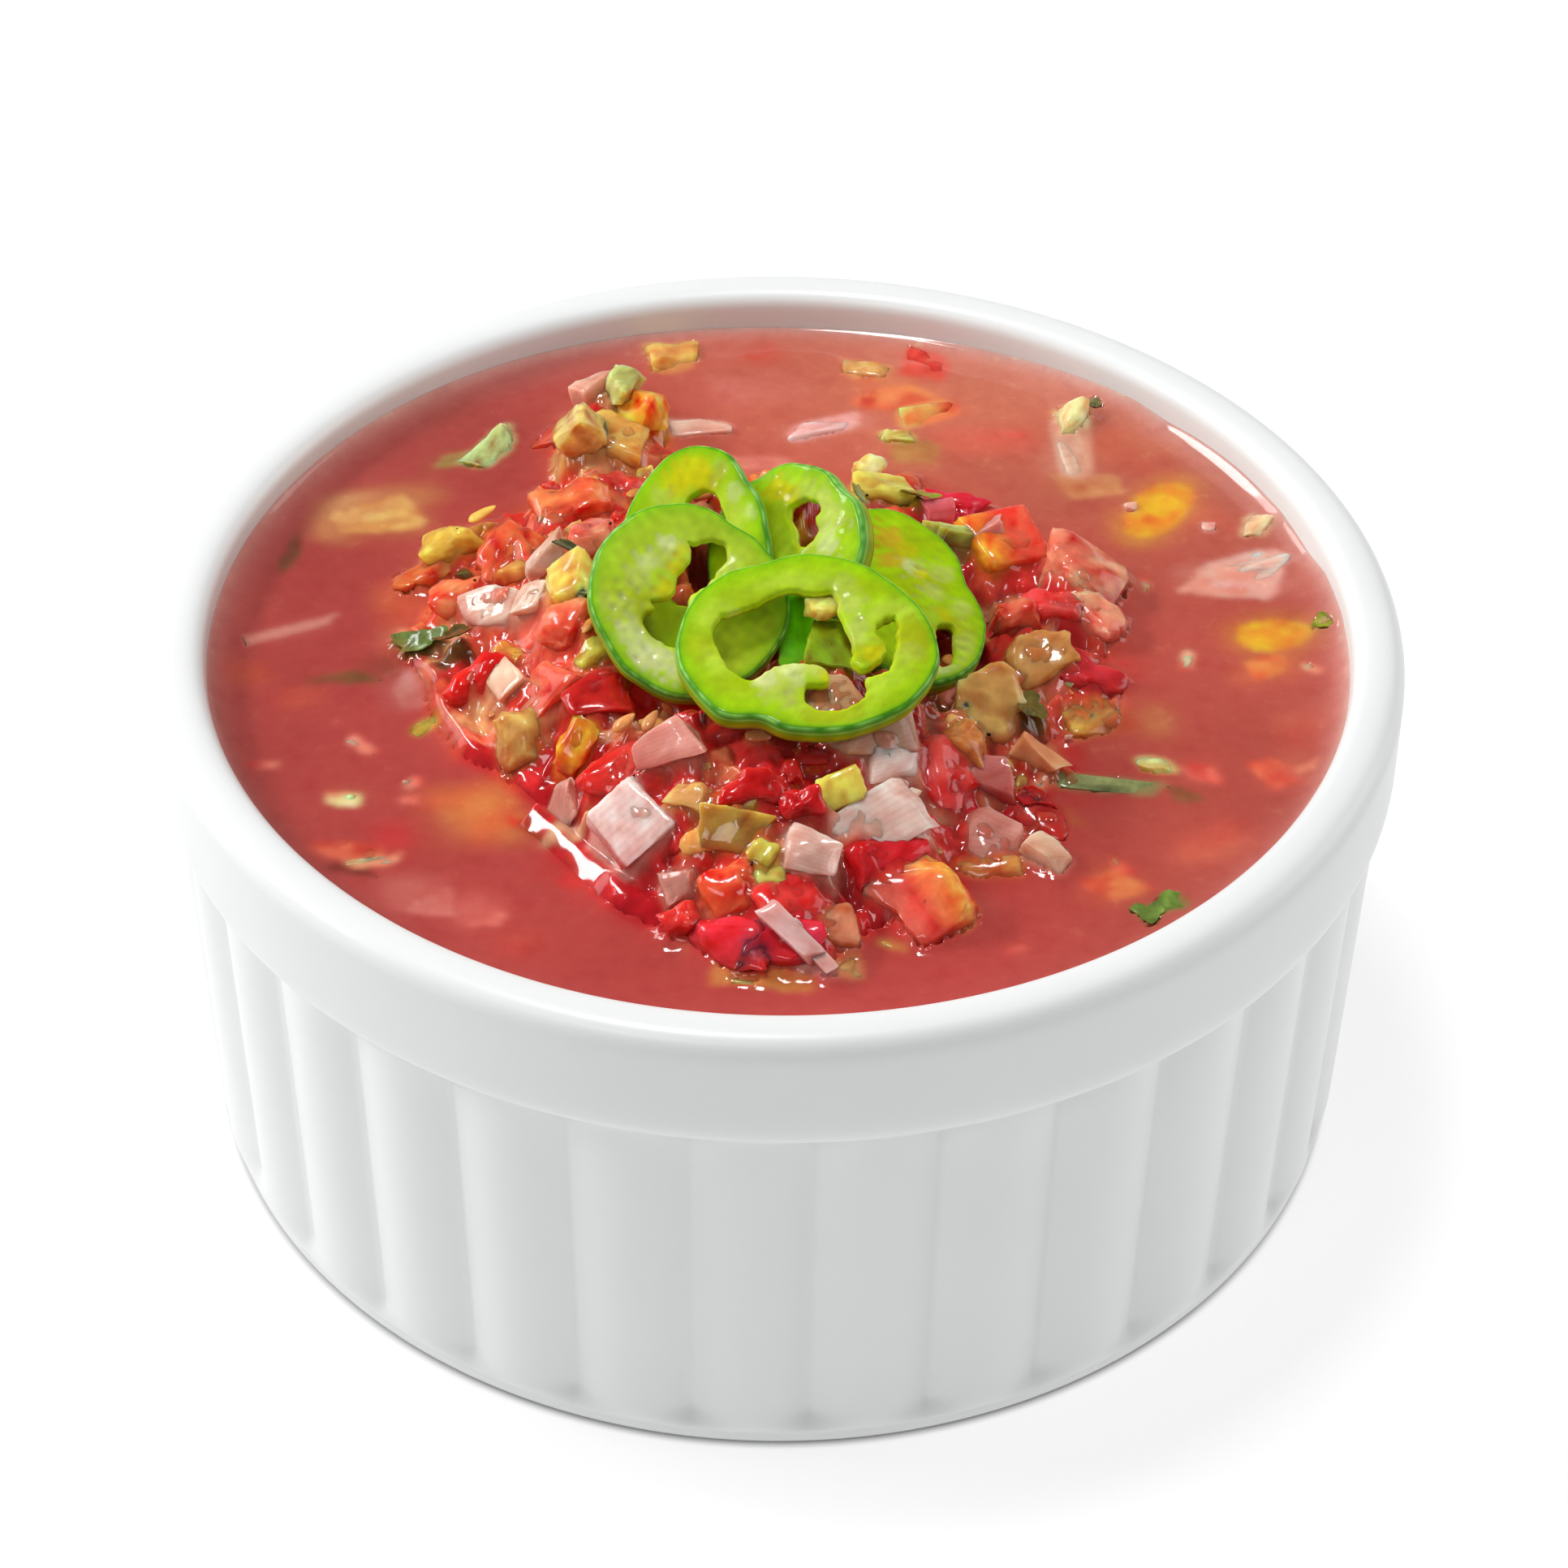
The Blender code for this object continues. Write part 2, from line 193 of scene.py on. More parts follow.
def make_mesh(name, verts, faces, material, tint=None, local=None, smooth=True, sharp=None):
    """verts in millimetres (N, 3); faces a list of tuples or an (M, k) array."""
    mesh = bpy.data.meshes.new(name)
    v = np.asarray(verts, float) * MM
    mesh.from_pydata(v.tolist(), [], faces.tolist() if isinstance(faces, np.ndarray) else faces)
    mesh.update()
    if tint is not None:
        a = mesh.color_attributes.new("tint", "FLOAT_COLOR", "POINT")
        c = np.ones((len(v), 4), np.float32)
        t = np.asarray(tint)
        c[:, :t.shape[1]] = t
        c[:, :3] *= TINT_GAIN
        a.data.foreach_set("color", c.ravel())
    if local is not None:
        a = mesh.attributes.new("lp", "FLOAT_VECTOR", "POINT")
        a.data.foreach_set("vector", np.asarray(local, np.float32).ravel())
    if smooth:
        mesh.shade_smooth()
    if sharp is not None:
        mesh.set_sharp_from_angle(angle=math.radians(sharp))
    mesh.materials.append(material)
    ob = bpy.data.objects.new(name, mesh)
    bpy.context.scene.collection.objects.link(ob)
    return ob


def sines(p, rs, scale, count=5):
    """A smooth uneven field over points p (N, 3), about -1 to 1, with features of about the given size."""
    out = np.zeros(len(p))
    for _ in range(count):
        k = rs.normal(size=3)
        k *= (2 * math.pi / scale) * rs.uniform(0.6, 1.5) / np.linalg.norm(k)
        out += np.sin(p @ k + rs.uniform(0, 6.28))
    return out / math.sqrt(count)


_grids = {}


def cube_grid(n):
    """Points of a cube's surface on an n by n grid a side, closed towards its edges, and its quads."""
    if n in _grids:
        return _grids[n]
    index, pts, quads = {}, [], []

    def vert(key):
        if key not in index:
            index[key] = len(pts)
            pts.append(key)
        return index[key]
    for axis in range(3):
        for side in (0, n):
            for i in range(n):
                for j in range(n):
                    q = []
                    for a, b in ((i, j), (i + 1, j), (i + 1, j + 1), (i, j + 1)):
                        key = [0, 0, 0]
                        key[axis], key[(axis + 1) % 3], key[(axis + 2) % 3] = side, a, b
                        q.append(vert(tuple(key)))
                    quads.append(q if side else q[::-1])
    t = np.array(pts, float) * 2 / n - 1
    t = np.sign(t) * (1 - (1 - np.abs(t)) ** 1.5)
    _grids[n] = (t, np.array(quads))
    return _grids[n]


def chunk(size, rs, n=6, edge=0.6, warp=0.16, rough=0.05, cuts=2, bend=0.0, fine=0.03):
    """A hand-cut piece: a block with rounded edges, uneven corners, a few slanting cuts and soft relief.
    Returns points in millimetres, quads and the points' places in the piece, each -1 to 1."""
    t, quads = cube_grid(n)
    half = np.array(size, float) / 2
    r = edge * half.min()
    box = t * half
    core = np.clip(box, -(half - r), half - r)
    d = box - core
    length = np.linalg.norm(d, axis=1, keepdims=True)
    p = core + r * d / np.maximum(length, 1e-9)
    corners = rs.uniform(-1, 1, (2, 2, 2, 3)) * warp * half * 2
    u = (t + 1) / 2
    w = np.zeros_like(p)
    for i in (0, 1):
        for j in (0, 1):
            for k in (0, 1):
                f = (u[:, 0] if i else 1 - u[:, 0]) * (u[:, 1] if j else 1 - u[:, 1]) * (u[:, 2] if k else 1 - u[:, 2])
                w += f[:, None] * corners[i, j, k]
    p = p + w
    for _ in range(cuts):
        nrm = rs.normal(size=3)
        nrm /= np.linalg.norm(nrm)
        reach = (np.abs(nrm) * half).sum() * rs.uniform(0.48, 0.80)
        over = p @ nrm - reach
        over = 0.5 * (over + np.sqrt(over ** 2 + (0.06 * half.min()) ** 2))
        p = p - over[:, None] * nrm * 0.94
    if bend:
        p[:, 2] += bend * (p[:, 0] ** 2 - half[0] ** 2 * 0.4)
    out = p / np.maximum(np.linalg.norm(p, axis=1, keepdims=True), 1e-6)
    swell = sines(p, rs, half.min() * 2.4) * rough * half.min() + sines(p, rs, 0.9) * fine * 1.6 + sines(p, rs, 0.5) * fine
    return p + out * swell[:, None], quads, t


def ball(size, rs, n=6, taper=0.0, rough=0.03):
    """A seed or bead: a rounded body drawn out along X, thinner towards +X by taper."""
    t, quads = cube_grid(n)
    p = t / np.linalg.norm(t, axis=1, keepdims=True)
    k = 1 - taper * (p[:, 0] + 1) / 2
    p = p * np.array(size) / 2
    p[:, 1] *= k
    p[:, 2] *= k
    p += rough * min(size) * sines(p, rs, min(size) * 1.5)[:, None] * t
    return p, quads, t


def leaf(size, rs, lobes=3, thick=0.22, curl=0.25, rings=6, spokes=36):
    """A torn bit of leaf: a lobed sheet with a little thickness, curled."""
    L, W = size
    pts, loc = [], []
    ph = np.linspace(0, 2 * math.pi, spokes, endpoint=False)
    edge = 1 + 0.22 * np.cos(lobes * ph + rs.uniform(0, 6)) + 0.08 * np.sin(7 * ph + rs.uniform(0, 6)) + 0.05 * np.sin(11 * ph + rs.uniform(0, 6))
    for side in (1, -1):
        pts.append((0, 0, side * thick / 2)); loc.append((0, 0, side))
        for k in range(1, rings + 1):
            f = k / rings
            for i in range(spokes):
                x, y = L / 2 * f * edge[i] * math.cos(ph[i]), W / 2 * f * edge[i] * math.sin(ph[i])
                pts.append((x, y, side * thick / 2 * (1 - f ** 4))); loc.append((2 * x / L, 2 * y / W, side))
    pts, loc = np.array(pts), np.array(loc)
    a, b = rs.uniform(0.4, 1.0) * curl, rs.uniform(-1.0, 1.0) * curl
    pts[:, 2] += a * pts[:, 1] ** 2 / W * 2 + b * pts[:, 0] ** 2 / L * 1.4 + 0.06 * np.sin(pts[:, 0] * 3.1 + rs.uniform(0, 6)) * np.cos(pts[:, 1] * 2.7)
    faces, m = [], 1 + rings * spokes
    for side, base in ((1, 0), (-1, m)):
        for i in range(spokes):
            j = (i + 1) % spokes
            tri = (base, base + 1 + i, base + 1 + j)
            faces.append(tri if side > 0 else tri[::-1])
            for k in range(rings - 1):
                q = (base + 1 + k * spokes + i, base + 1 + (k + 1) * spokes + i, base + 1 + (k + 1) * spokes + j, base + 1 + k * spokes + j)
                faces.append(q if side > 0 else q[::-1])
    rim = 1 + (rings - 1) * spokes
    for i in range(spokes):
        j = (i + 1) % spokes
        faces.append((rim + i, m + rim + i, m + rim + j, rim + j))
    return pts, faces, loc


class Batch:
    """Pieces of one kind, joined into one mesh."""

    def __init__(self, name, material, slot):
        self.name, self.material, self.slot = name, material, slot
        self.v, self.f, self.c, self.l, self.n = [], [], [], [], 0

    def add(self, verts, faces, colour, local):
        self.v.append(verts)
        self.f.extend([tuple(int(i) + self.n for i in f) for f in (faces.tolist() if isinstance(faces, np.ndarray) else faces)])
        self.c.append(np.broadcast_to(np.asarray(colour, float), verts.shape))
        self.l.append(local)
        self.n += len(verts)

    def arrays(self):
        return np.concatenate(self.v), self.f, np.concatenate(self.c), np.concatenate(self.l)

    def make(self):
        v, f, c, l = self.arrays()
        ob = make_mesh(self.name, v, f, self.material, tint=c, local=l, sharp=40)
        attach(ob, "root")
        return ob


def turned(p, yaw=0.0, tilt=0.0, tilt_dir=0.0, up=None):
    """Turns a piece about +Z by yaw, leans it by tilt towards tilt_dir, then stands it on the slope whose normal is up."""
    m = Matrix.Rotation(math.radians(yaw), 3, "Z")
    axis = Vector((-math.sin(math.radians(tilt_dir)), math.cos(math.radians(tilt_dir)), 0))
    m = Matrix.Rotation(math.radians(tilt), 3, axis) @ m
    if up is not None:
        m = Vector((0, 0, 1)).rotation_difference(Vector(up)).to_matrix() @ m
    return p @ np.array(m).T


# ------------------------------------------------------------------ materials
def new_material(name):
    m = bpy.data.materials.new(name)
    m.use_nodes = True
    nt = m.node_tree
    return m, nt, nt.nodes["Principled BSDF"]


def node(nt, kind, **values):
    n = nt.nodes.new(kind)
    for k, v in values.items():
        if hasattr(n, k):
            setattr(n, k, v)
        else:
            n.inputs[k].default_value = v
    return n


def noise(nt, coords, scale, detail=3.0, rough=0.55, distortion=0.0):
    n = node(nt, "ShaderNodeTexNoise", Scale=scale, Detail=detail, Roughness=rough, Distortion=distortion)
    nt.links.new(coords, n.inputs["Vector"])
    return n.outputs["Fac"]


def ramp(nt, fac, stops):
    r = nt.nodes.new("ShaderNodeValToRGB")
    e = r.color_ramp.elements
    while len(e) < len(stops):
        e.new(0.5)
    for el, (pos, col) in zip(e, stops):
        el.position = pos
        el.color = (*col, 1.0) if len(col) == 3 else col
    nt.links.new(fac, r.inputs["Fac"])
    return r.outputs["Color"]


def grey(v):
    return (v, v, v)


def multiply(nt, a, b, fac=1.0):
    m = node(nt, "ShaderNodeMix", data_type="RGBA", blend_type="MULTIPLY")
    m.inputs["Factor"].default_value = fac
    nt.links.new(a, m.inputs[6])
    nt.links.new(b, m.inputs[7])
    return m.outputs[2]


def bumped(nt, height, strength, distance, normal=None):
    b = node(nt, "ShaderNodeBump", Strength=strength, Distance=distance)
    nt.links.new(height, b.inputs["Height"])
    if normal is not None:
        nt.links.new(normal, b.inputs["Normal"])
    return b.outputs["Normal"]


def coords(nt):
    return nt.nodes.new("ShaderNodeTexCoord").outputs["Object"]


def attribute(nt, name, out="Color"):
    return node(nt, "ShaderNodeAttribute", attribute_name=name).outputs[out]


def porcelain():
    m, nt, s = new_material("white_porcelain_glaze")
    co = coords(nt)
    tone = ramp(nt, noise(nt, co, 60.0, 4.0), [(0.3, (0.828, 0.842, 0.841)), (0.7, (0.850, 0.862, 0.860))])
    across = node(nt, "ShaderNodeVectorMath", operation="MULTIPLY")          # the wall inside the rim is painted a shade lighter and less pink: painted light on the inner wall
    across.inputs[1].default_value = (1.0, 1.0, 0.0)
    nt.links.new(co, across.inputs[0])
    radius = node(nt, "ShaderNodeVectorMath", operation="LENGTH")
    nt.links.new(across.outputs["Vector"], radius.inputs[0])
    outside_painted_inner_light = node(nt, "ShaderNodeMapRange")
    outside_painted_inner_light.inputs["From Min"].default_value = 0.0411
    outside_painted_inner_light.inputs["From Max"].default_value = 0.0424
    nt.links.new(radius.outputs["Value"], outside_painted_inner_light.inputs["Value"])
    glaze_with_painted_inner_light = node(nt, "ShaderNodeMix", data_type="RGBA")
    glaze_with_painted_inner_light.inputs[6].default_value = (0.905, 0.985, 0.980, 1.0)
    nt.links.new(outside_painted_inner_light.outputs["Result"], glaze_with_painted_inner_light.inputs[0])
    nt.links.new(tone, glaze_with_painted_inner_light.inputs[7])
    nt.links.new(glaze_with_painted_inner_light.outputs[2], s.inputs["Base Color"])
    rough = ramp(nt, noise(nt, co, 140.0, 3.0), [(0.3, grey(0.32)), (0.7, grey(0.38))])
    nt.links.new(rough, s.inputs["Roughness"])
    s.inputs["Specular IOR Level"].default_value = 0.35
    nt.links.new(bumped(nt, noise(nt, co, 110.0, 2.0), 0.10, 0.0006), s.inputs["Normal"])
    s.inputs["IOR"].default_value = 1.5
    s.inputs["Coat Weight"].default_value = 0.03
    s.inputs["Coat Roughness"].default_value = 0.20
    s.inputs["Subsurface Weight"].default_value = 0.10
    s.inputs["Subsurface Radius"].default_value = (1.0, 0.9, 0.8)
    s.inputs["Subsurface Scale"].default_value = 0.0012
    return m


def wet(name, sss, radius, scale, rough=(0.10, 0.24), bump_mm=0.12, cell=900.0, contrast=0.25, ior=1.38, coat=0.5, streaks=0.0, calm=False):
    """Wet cut vegetable: colour from the piece's own tint, broken up by fine grain, under a film of juice."""
    m, nt, s = new_material(name)
    co = coords(nt)
    base = attribute(nt, "tint")
    grain = ramp(nt, noise(nt, co, cell, 4.0, 0.6), [(0.25, grey(1.0 - contrast)), (0.75, grey(1.0 + contrast * 0.35))])
    col = multiply(nt, base, grain)
    if streaks:
        lp = attribute(nt, "lp", "Vector")
        w = node(nt, "ShaderNodeTexWave", wave_type="BANDS", bands_direction="Y", Scale=1.5, Distortion=1.1, Detail=2.0)
        w.inputs["Detail Scale"].default_value = 0.8
        nt.links.new(lp, w.inputs["Vector"])
        lines = ramp(nt, w.outputs["Fac"], [(0.0, (1.0 - streaks * 0.4, 1.0 - streaks, 1.0 - streaks)), (0.6, grey(1.0))])
        col = multiply(nt, col, lines)
    nt.links.new(col, s.inputs["Base Color"])
    r = ramp(nt, noise(nt, co, cell * 0.45, 3.0), [(0.3, grey(rough[0])), (0.7, grey(rough[1]))])
    nt.links.new(r, s.inputs["Roughness"])
    h = noise(nt, co, cell * 0.7, 2.0, 0.5)
    fine = noise(nt, co, cell * 2.2, 2.0, 0.5)
    nt.links.new(bumped(nt, fine, 0.5, bump_mm * 0.35 * MM, bumped(nt, h, 0.6, bump_mm * MM)), s.inputs["Normal"])
    if calm:                                                        # the tint's fourth channel says how rough the film is
        rough_film = attribute(nt, "tint", "Alpha")
        for b in [x for x in nt.nodes if x.bl_idname == "ShaderNodeBump"]:
            k = node(nt, "ShaderNodeMath", operation="MULTIPLY")
            k.inputs[1].default_value = b.inputs["Strength"].default_value
            nt.links.new(rough_film, k.inputs[0])
            nt.links.new(k.outputs[0], b.inputs["Strength"])
    s.inputs["Specular IOR Level"].default_value = 0.16
    s.inputs["IOR"].default_value = ior
    s.inputs["Coat Weight"].default_value = coat
    s.inputs["Coat Roughness"].default_value = 0.045
    s.inputs["Coat IOR"].default_value = 1.4
    s.inputs["Subsurface Weight"].default_value = sss
    s.inputs["Subsurface Radius"].default_value = radius
    s.inputs["Subsurface Scale"].default_value = scale * MM
    return m


def liquid_material():
    m, nt, s = new_material("cloudy_tomato_liquid")
    co = coords(nt)
    base = attribute(nt, "tint")
    cloud = ramp(nt, noise(nt, co, 70.0, 3.0), [(0.3, (0.90, 0.86, 0.86)), (0.7, (1.06, 1.08, 1.08))])
    specks = ramp(nt, noise(nt, co, 900.0, 3.0, 0.65), [(0.30, (0.93, 0.88, 0.88)), (0.66, (1.0, 1.0, 1.0)), (0.80, (1.08, 1.30, 1.25))])
    flecks = ramp(nt, noise(nt, co, 420.0, 4.0, 0.6), [(0.30, (0.94, 0.84, 0.86)), (0.48, (1.0, 1.0, 1.0)), (0.62, (1.0, 1.0, 1.0)), (0.76, (1.10, 1.50, 1.30))])
    nt.links.new(multiply(nt, multiply(nt, multiply(nt, base, cloud), specks), flecks), s.inputs["Base Color"])
    r = ramp(nt, noise(nt, co, 300.0, 2.0), [(0.3, grey(0.05)), (0.7, grey(0.11))])
    nt.links.new(r, s.inputs["Roughness"])
    nt.links.new(bumped(nt, noise(nt, co, 160.0, 2.0), 0.12, 0.0005), s.inputs["Normal"])
    s.inputs["IOR"].default_value = 1.36
    s.inputs["Subsurface Weight"].default_value = 0.35
    s.inputs["Subsurface Radius"].default_value = (1.0, 0.25, 0.2)
    s.inputs["Subsurface Scale"].default_value = 0.0015
    return m


def pepper_material():
    m, nt, s = new_material("green_pepper_slice")
    co = coords(nt)
    base = attribute(nt, "tint")
    grain = ramp(nt, noise(nt, co, 1100.0, 4.0, 0.6), [(0.28, (0.90, 0.93, 0.75)), (0.72, (1.06, 1.04, 1.20))])
    nt.links.new(multiply(nt, base, grain), s.inputs["Base Color"])
    r = ramp(nt, noise(nt, co, 500.0, 3.0), [(0.3, grey(0.42)), (0.7, grey(0.60))])
    nt.links.new(r, s.inputs["Roughness"])
    nt.links.new(bumped(nt, noise(nt, co, 1300.0, 3.0), 0.35, 0.00008), s.inputs["Normal"])
    s.inputs["IOR"].default_value = 1.42
    s.inputs["Specular IOR Level"].default_value = 0.06
    s.inputs["Coat Weight"].default_value = 0.20
    s.inputs["Coat Roughness"].default_value = 0.07
    s.inputs["Subsurface Weight"].default_value = 0.80
    s.inputs["Subsurface Radius"].default_value = (0.8, 1.0, 0.10)
    s.inputs["Subsurface Scale"].default_value = 0.0018
    return m


M_DISH = porcelain()
M_TOMATO = wet("tomato_flesh", 0.85, (1.0, 0.24, 0.12), 2.0, rough=(0.16, 0.34), bump_mm=0.14, cell=1000.0, contrast=0.26, coat=0.65)
M_PULP = wet("tomato_pulp", 0.70, (1.0, 0.18, 0.10), 2.0, rough=(0.08, 0.22), bump_mm=0.20, cell=800.0, contrast=0.32, coat=1.0, calm=True)
M_ONION = wet("onion", 0.80, (1.0, 0.78, 0.68), 1.2, rough=(0.20, 0.38), bump_mm=0.08, cell=1200.0, contrast=0.12, streaks=0.09, coat=0.60)
M_OLIVE = wet("pale_pepper", 1.0, (1.0, 0.72, 0.26), 2.4, rough=(0.18, 0.34), bump_mm=0.12, cell=1100.0, contrast=0.22, coat=0.65)
M_HERB = wet("herb_leaf", 0.15, (0.5, 1.0, 0.2), 0.4, rough=(0.18, 0.34), bump_mm=0.10, cell=1500.0, contrast=0.35)
M_SEED = wet("tomato_seed", 0.30, (1.0, 0.7, 0.4), 0.5, rough=(0.14, 0.26), bump_mm=0.05, cell=1800.0, contrast=0.20)
M_LIQUID = liquid_material()
M_PEPPER = pepper_material()


# ------------------------------------------------------------------ the dish
def make_dish():
    cols = RIB_COUNT * 16
    theta = RIB_VALLEY_DEG + 360.0 * np.arange(cols) / cols
    u = ((theta - RIB_VALLEY_DEG) * RIB_COUNT / 360.0) % 1.0
    a = np.abs(2 * u - 1.0)                                   # 1 in a valley, 0 on a crest
    arch = 1.0 - a ** 2 + 0.045 * np.exp(-((1 - a) / 0.10) ** 2)   # round crests; glaze fills the valleys a little
    rows = []                                                 # (radius on the crests, z, how far ribbed)

    def row(r, z, rib=0.0, low=False):
        rows.append((r, z, rib, low))
    row(FOOT_IN_R - 1.2, FOOT_RECESS); row(FOOT_IN_R - 0.5, FOOT_RECESS - 0.25); row(FOOT_IN_R - 0.1, 0.35)
    row(FOOT_IN_R + 0.35, 0.05); row(FOOT_IN_R + 0.9, 0.0)
    row(FOOT_OUT_R - 1.2, 0.0); row(FOOT_OUT_R - 0.35, 0.03); row(FOOT_OUT_R + 0.10, 0.22); row(FOOT_OUT_R + 0.33, 0.6)
    row(FOOT_OUT_R + 0.38, 1.1)
    for k in range(0, 13):                                    # the ribs' rounded lower ends
        z = 1.4 + 3.6 * (k / 12) ** 1.2
        row(None, z, 1.0, True)
    for k in range(1, 12):
        z = 5.0 + (BAND_LOW_Z - 1.1 - 5.0) * k / 11
        row(None, z, 1.0)
    row(BODY_TOP_R - 0.02, BAND_LOW_Z - 0.75, 0.95)
    row(BODY_TOP_R - 0.02, BAND_LOW_Z - 0.45, 0.80)
    row(BODY_TOP_R + 0.02, BAND_LOW_Z - 0.22, 0.45)
    row(BODY_TOP_R + 0.18, BAND_LOW_Z - 0.06, 0.12)
    row(BODY_TOP_R + 0.34, BAND_LOW_Z + 0.05); row(RIM_R - 0.30, BAND_LOW_Z + 0.20); row(RIM_R - 0.15, BAND_LOW_Z + 0.48)
    row(RIM_R - 0.05, BAND_LOW_Z + 0.90); row(RIM_R, BAND_LOW_Z + 1.6)
    for k in range(1, 6):
        row(RIM_R, BAND_LOW_Z + 1.6 + (DISH_H - 2.0 - BAND_LOW_Z - 1.6) * k / 5)
    for k in range(1, 17):                                    # the rounded rim, from its outer side over to the inner
        t = math.pi * k / 17
        w = (RIM_R - LIP_R) / 2
        x = RIM_R - w + w * math.copysign(abs(math.cos(t)) ** 0.8, math.cos(t))
        z = DISH_H - 2.0 + 2.0 * math.sin(t) ** 0.75
        if x < RIM_R - w:
            z = max(z, DISH_H - 1.5)
        row(x, z if x >= RIM_R - w else DISH_H - 1.7 + 1.7 * math.sin(t) ** 0.75)
    for k in range(0, 9):
        z = DISH_H - 1.9 + (FLOOR_Z + CORNER_R - DISH_H + 1.9) * k / 8
        row(inner_radius(z), z)
    for k in range(1, 7):
        t = math.pi / 2 * k / 6
        row(WALL_LOW_R - CORNER_R * (1 - math.cos(t)), FLOOR_Z + CORNER_R * (1 - math.sin(t)))
    row(18.0, FLOOR_Z)
    verts, faces = [], []
    tr = np.radians(theta)
    for r, z, rib, low in rows:
        if r is None:
            k = (z - 1.4) / (BAND_LOW_Z - 1.1 - 1.4)
            r = BODY_LOW_R + (BODY_TOP_R - BODY_LOW_R) * k
        rr = np.full(cols, float(r))
        if rib:
            rr = rr - RIB_DEPTH * (1 - arch) * rib
        if low:                                               # the lower ends fade out and curve in to the foot
            d = min(max((z - 1.4) / 1.9, 0.0), 1.0)
            crest = FOOT_OUT_R + 0.38 + (r - FOOT_OUT_R - 0.38) * math.sqrt(1 - (1 - d) ** 2)
            e = min(max((z - 1.3) / 2.1, 0.0), 1.0)
            rr = crest - RIB_DEPTH * (1 - arch) * e * e * (3 - 2 * e)
        verts.append(np.stack([rr * np.sin(tr), -rr * np.cos(tr), np.full(cols, z)], 1))
    n = len(rows)
    for i in range(n - 1):
        a0 = np.arange(cols) + i * cols
        b0 = np.roll(a0, -1)
        faces.append(np.stack([a0, b0, b0 + cols, a0 + cols], 1))
    v = np.concatenate(verts + [np.array([[0, 0, FOOT_RECESS], [0, 0, FLOOR_Z]])])
    quads = np.concatenate(faces).tolist()
    low_c, top_c = n * cols, n * cols + 1
    for i in range(cols):
        j = (i + 1) % cols
        quads.append((low_c, j, i))
        quads.append((top_c, (n - 1) * cols + i, (n - 1) * cols + j))
    ob = make_mesh("ramekin_glazed", v, quads, M_DISH)
    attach(ob, "root"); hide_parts("ramekin")
    return ob


# ------------------------------------------------------------------ pepper slices
# The inner outline of each slice, as the photograph shows it: places in its 1932 pixel frame, times 2.8, from (690, 520).
HOLES = {
    "pepper_slice_front": [[(528, 735), (530, 690), (560, 655), (610, 640), (665, 622), (715, 598), (755, 580), (800, 565), (845, 575), (890, 580), (940, 575), (958, 600),
                            (962, 640), (985, 690), (1008, 740), (1012, 790), (1010, 825), (1045, 842), (1085, 828), (1115, 800), (1130, 765), (1108, 742), (1092, 715), (1094, 690),
                            (1125, 672), (1160, 658), (1166, 700), (1162, 760), (1150, 815), (1128, 850), (1095, 862), (1058, 872), (1063, 905), (1048, 940), (1010, 968), (950, 985),
                            (890, 982), (855, 960), (845, 920), (862, 893), (900, 896), (932, 885), (928, 855), (895, 830), (840, 822), (780, 826), (730, 838), (695, 862),
                            (655, 880), (610, 862), (575, 830), (556, 790)]],
    "pepper_slice_left": [[(440, 405), (470, 415), (500, 400), (545, 402), (568, 415), (583, 445), (572, 478), (548, 503), (522, 543), (488, 570), (450, 598), (446, 640), (462, 690),
                           (480, 740), (450, 785), (400, 775), (350, 752), (310, 722), (288, 690), (298, 655), (330, 640), (318, 602), (355, 606), (385, 592), (400, 560), (410, 528),
                           (428, 498), (452, 468), (456, 440)]],
    "pepper_slice_back_left": [[(422, 282), (450, 248), (490, 230), (525, 237), (545, 270), (566, 330), (575, 420), (560, 510), (510, 590), (440, 630), (380, 610), (345, 540), (345, 460), (372, 385), (402, 325)]],
    "pepper_slice_back": [[(775, 297), (800, 272), (835, 262), (878, 275), (890, 300), (872, 330), (880, 365), (866, 405), (832, 425), (800, 405), (796, 360), (784, 335)]],
    "pepper_slice_right": [[(1308, 694), (1332, 686), (1362, 698), (1366, 760), (1358, 818), (1330, 834), (1310, 824), (1304, 770)]],
}
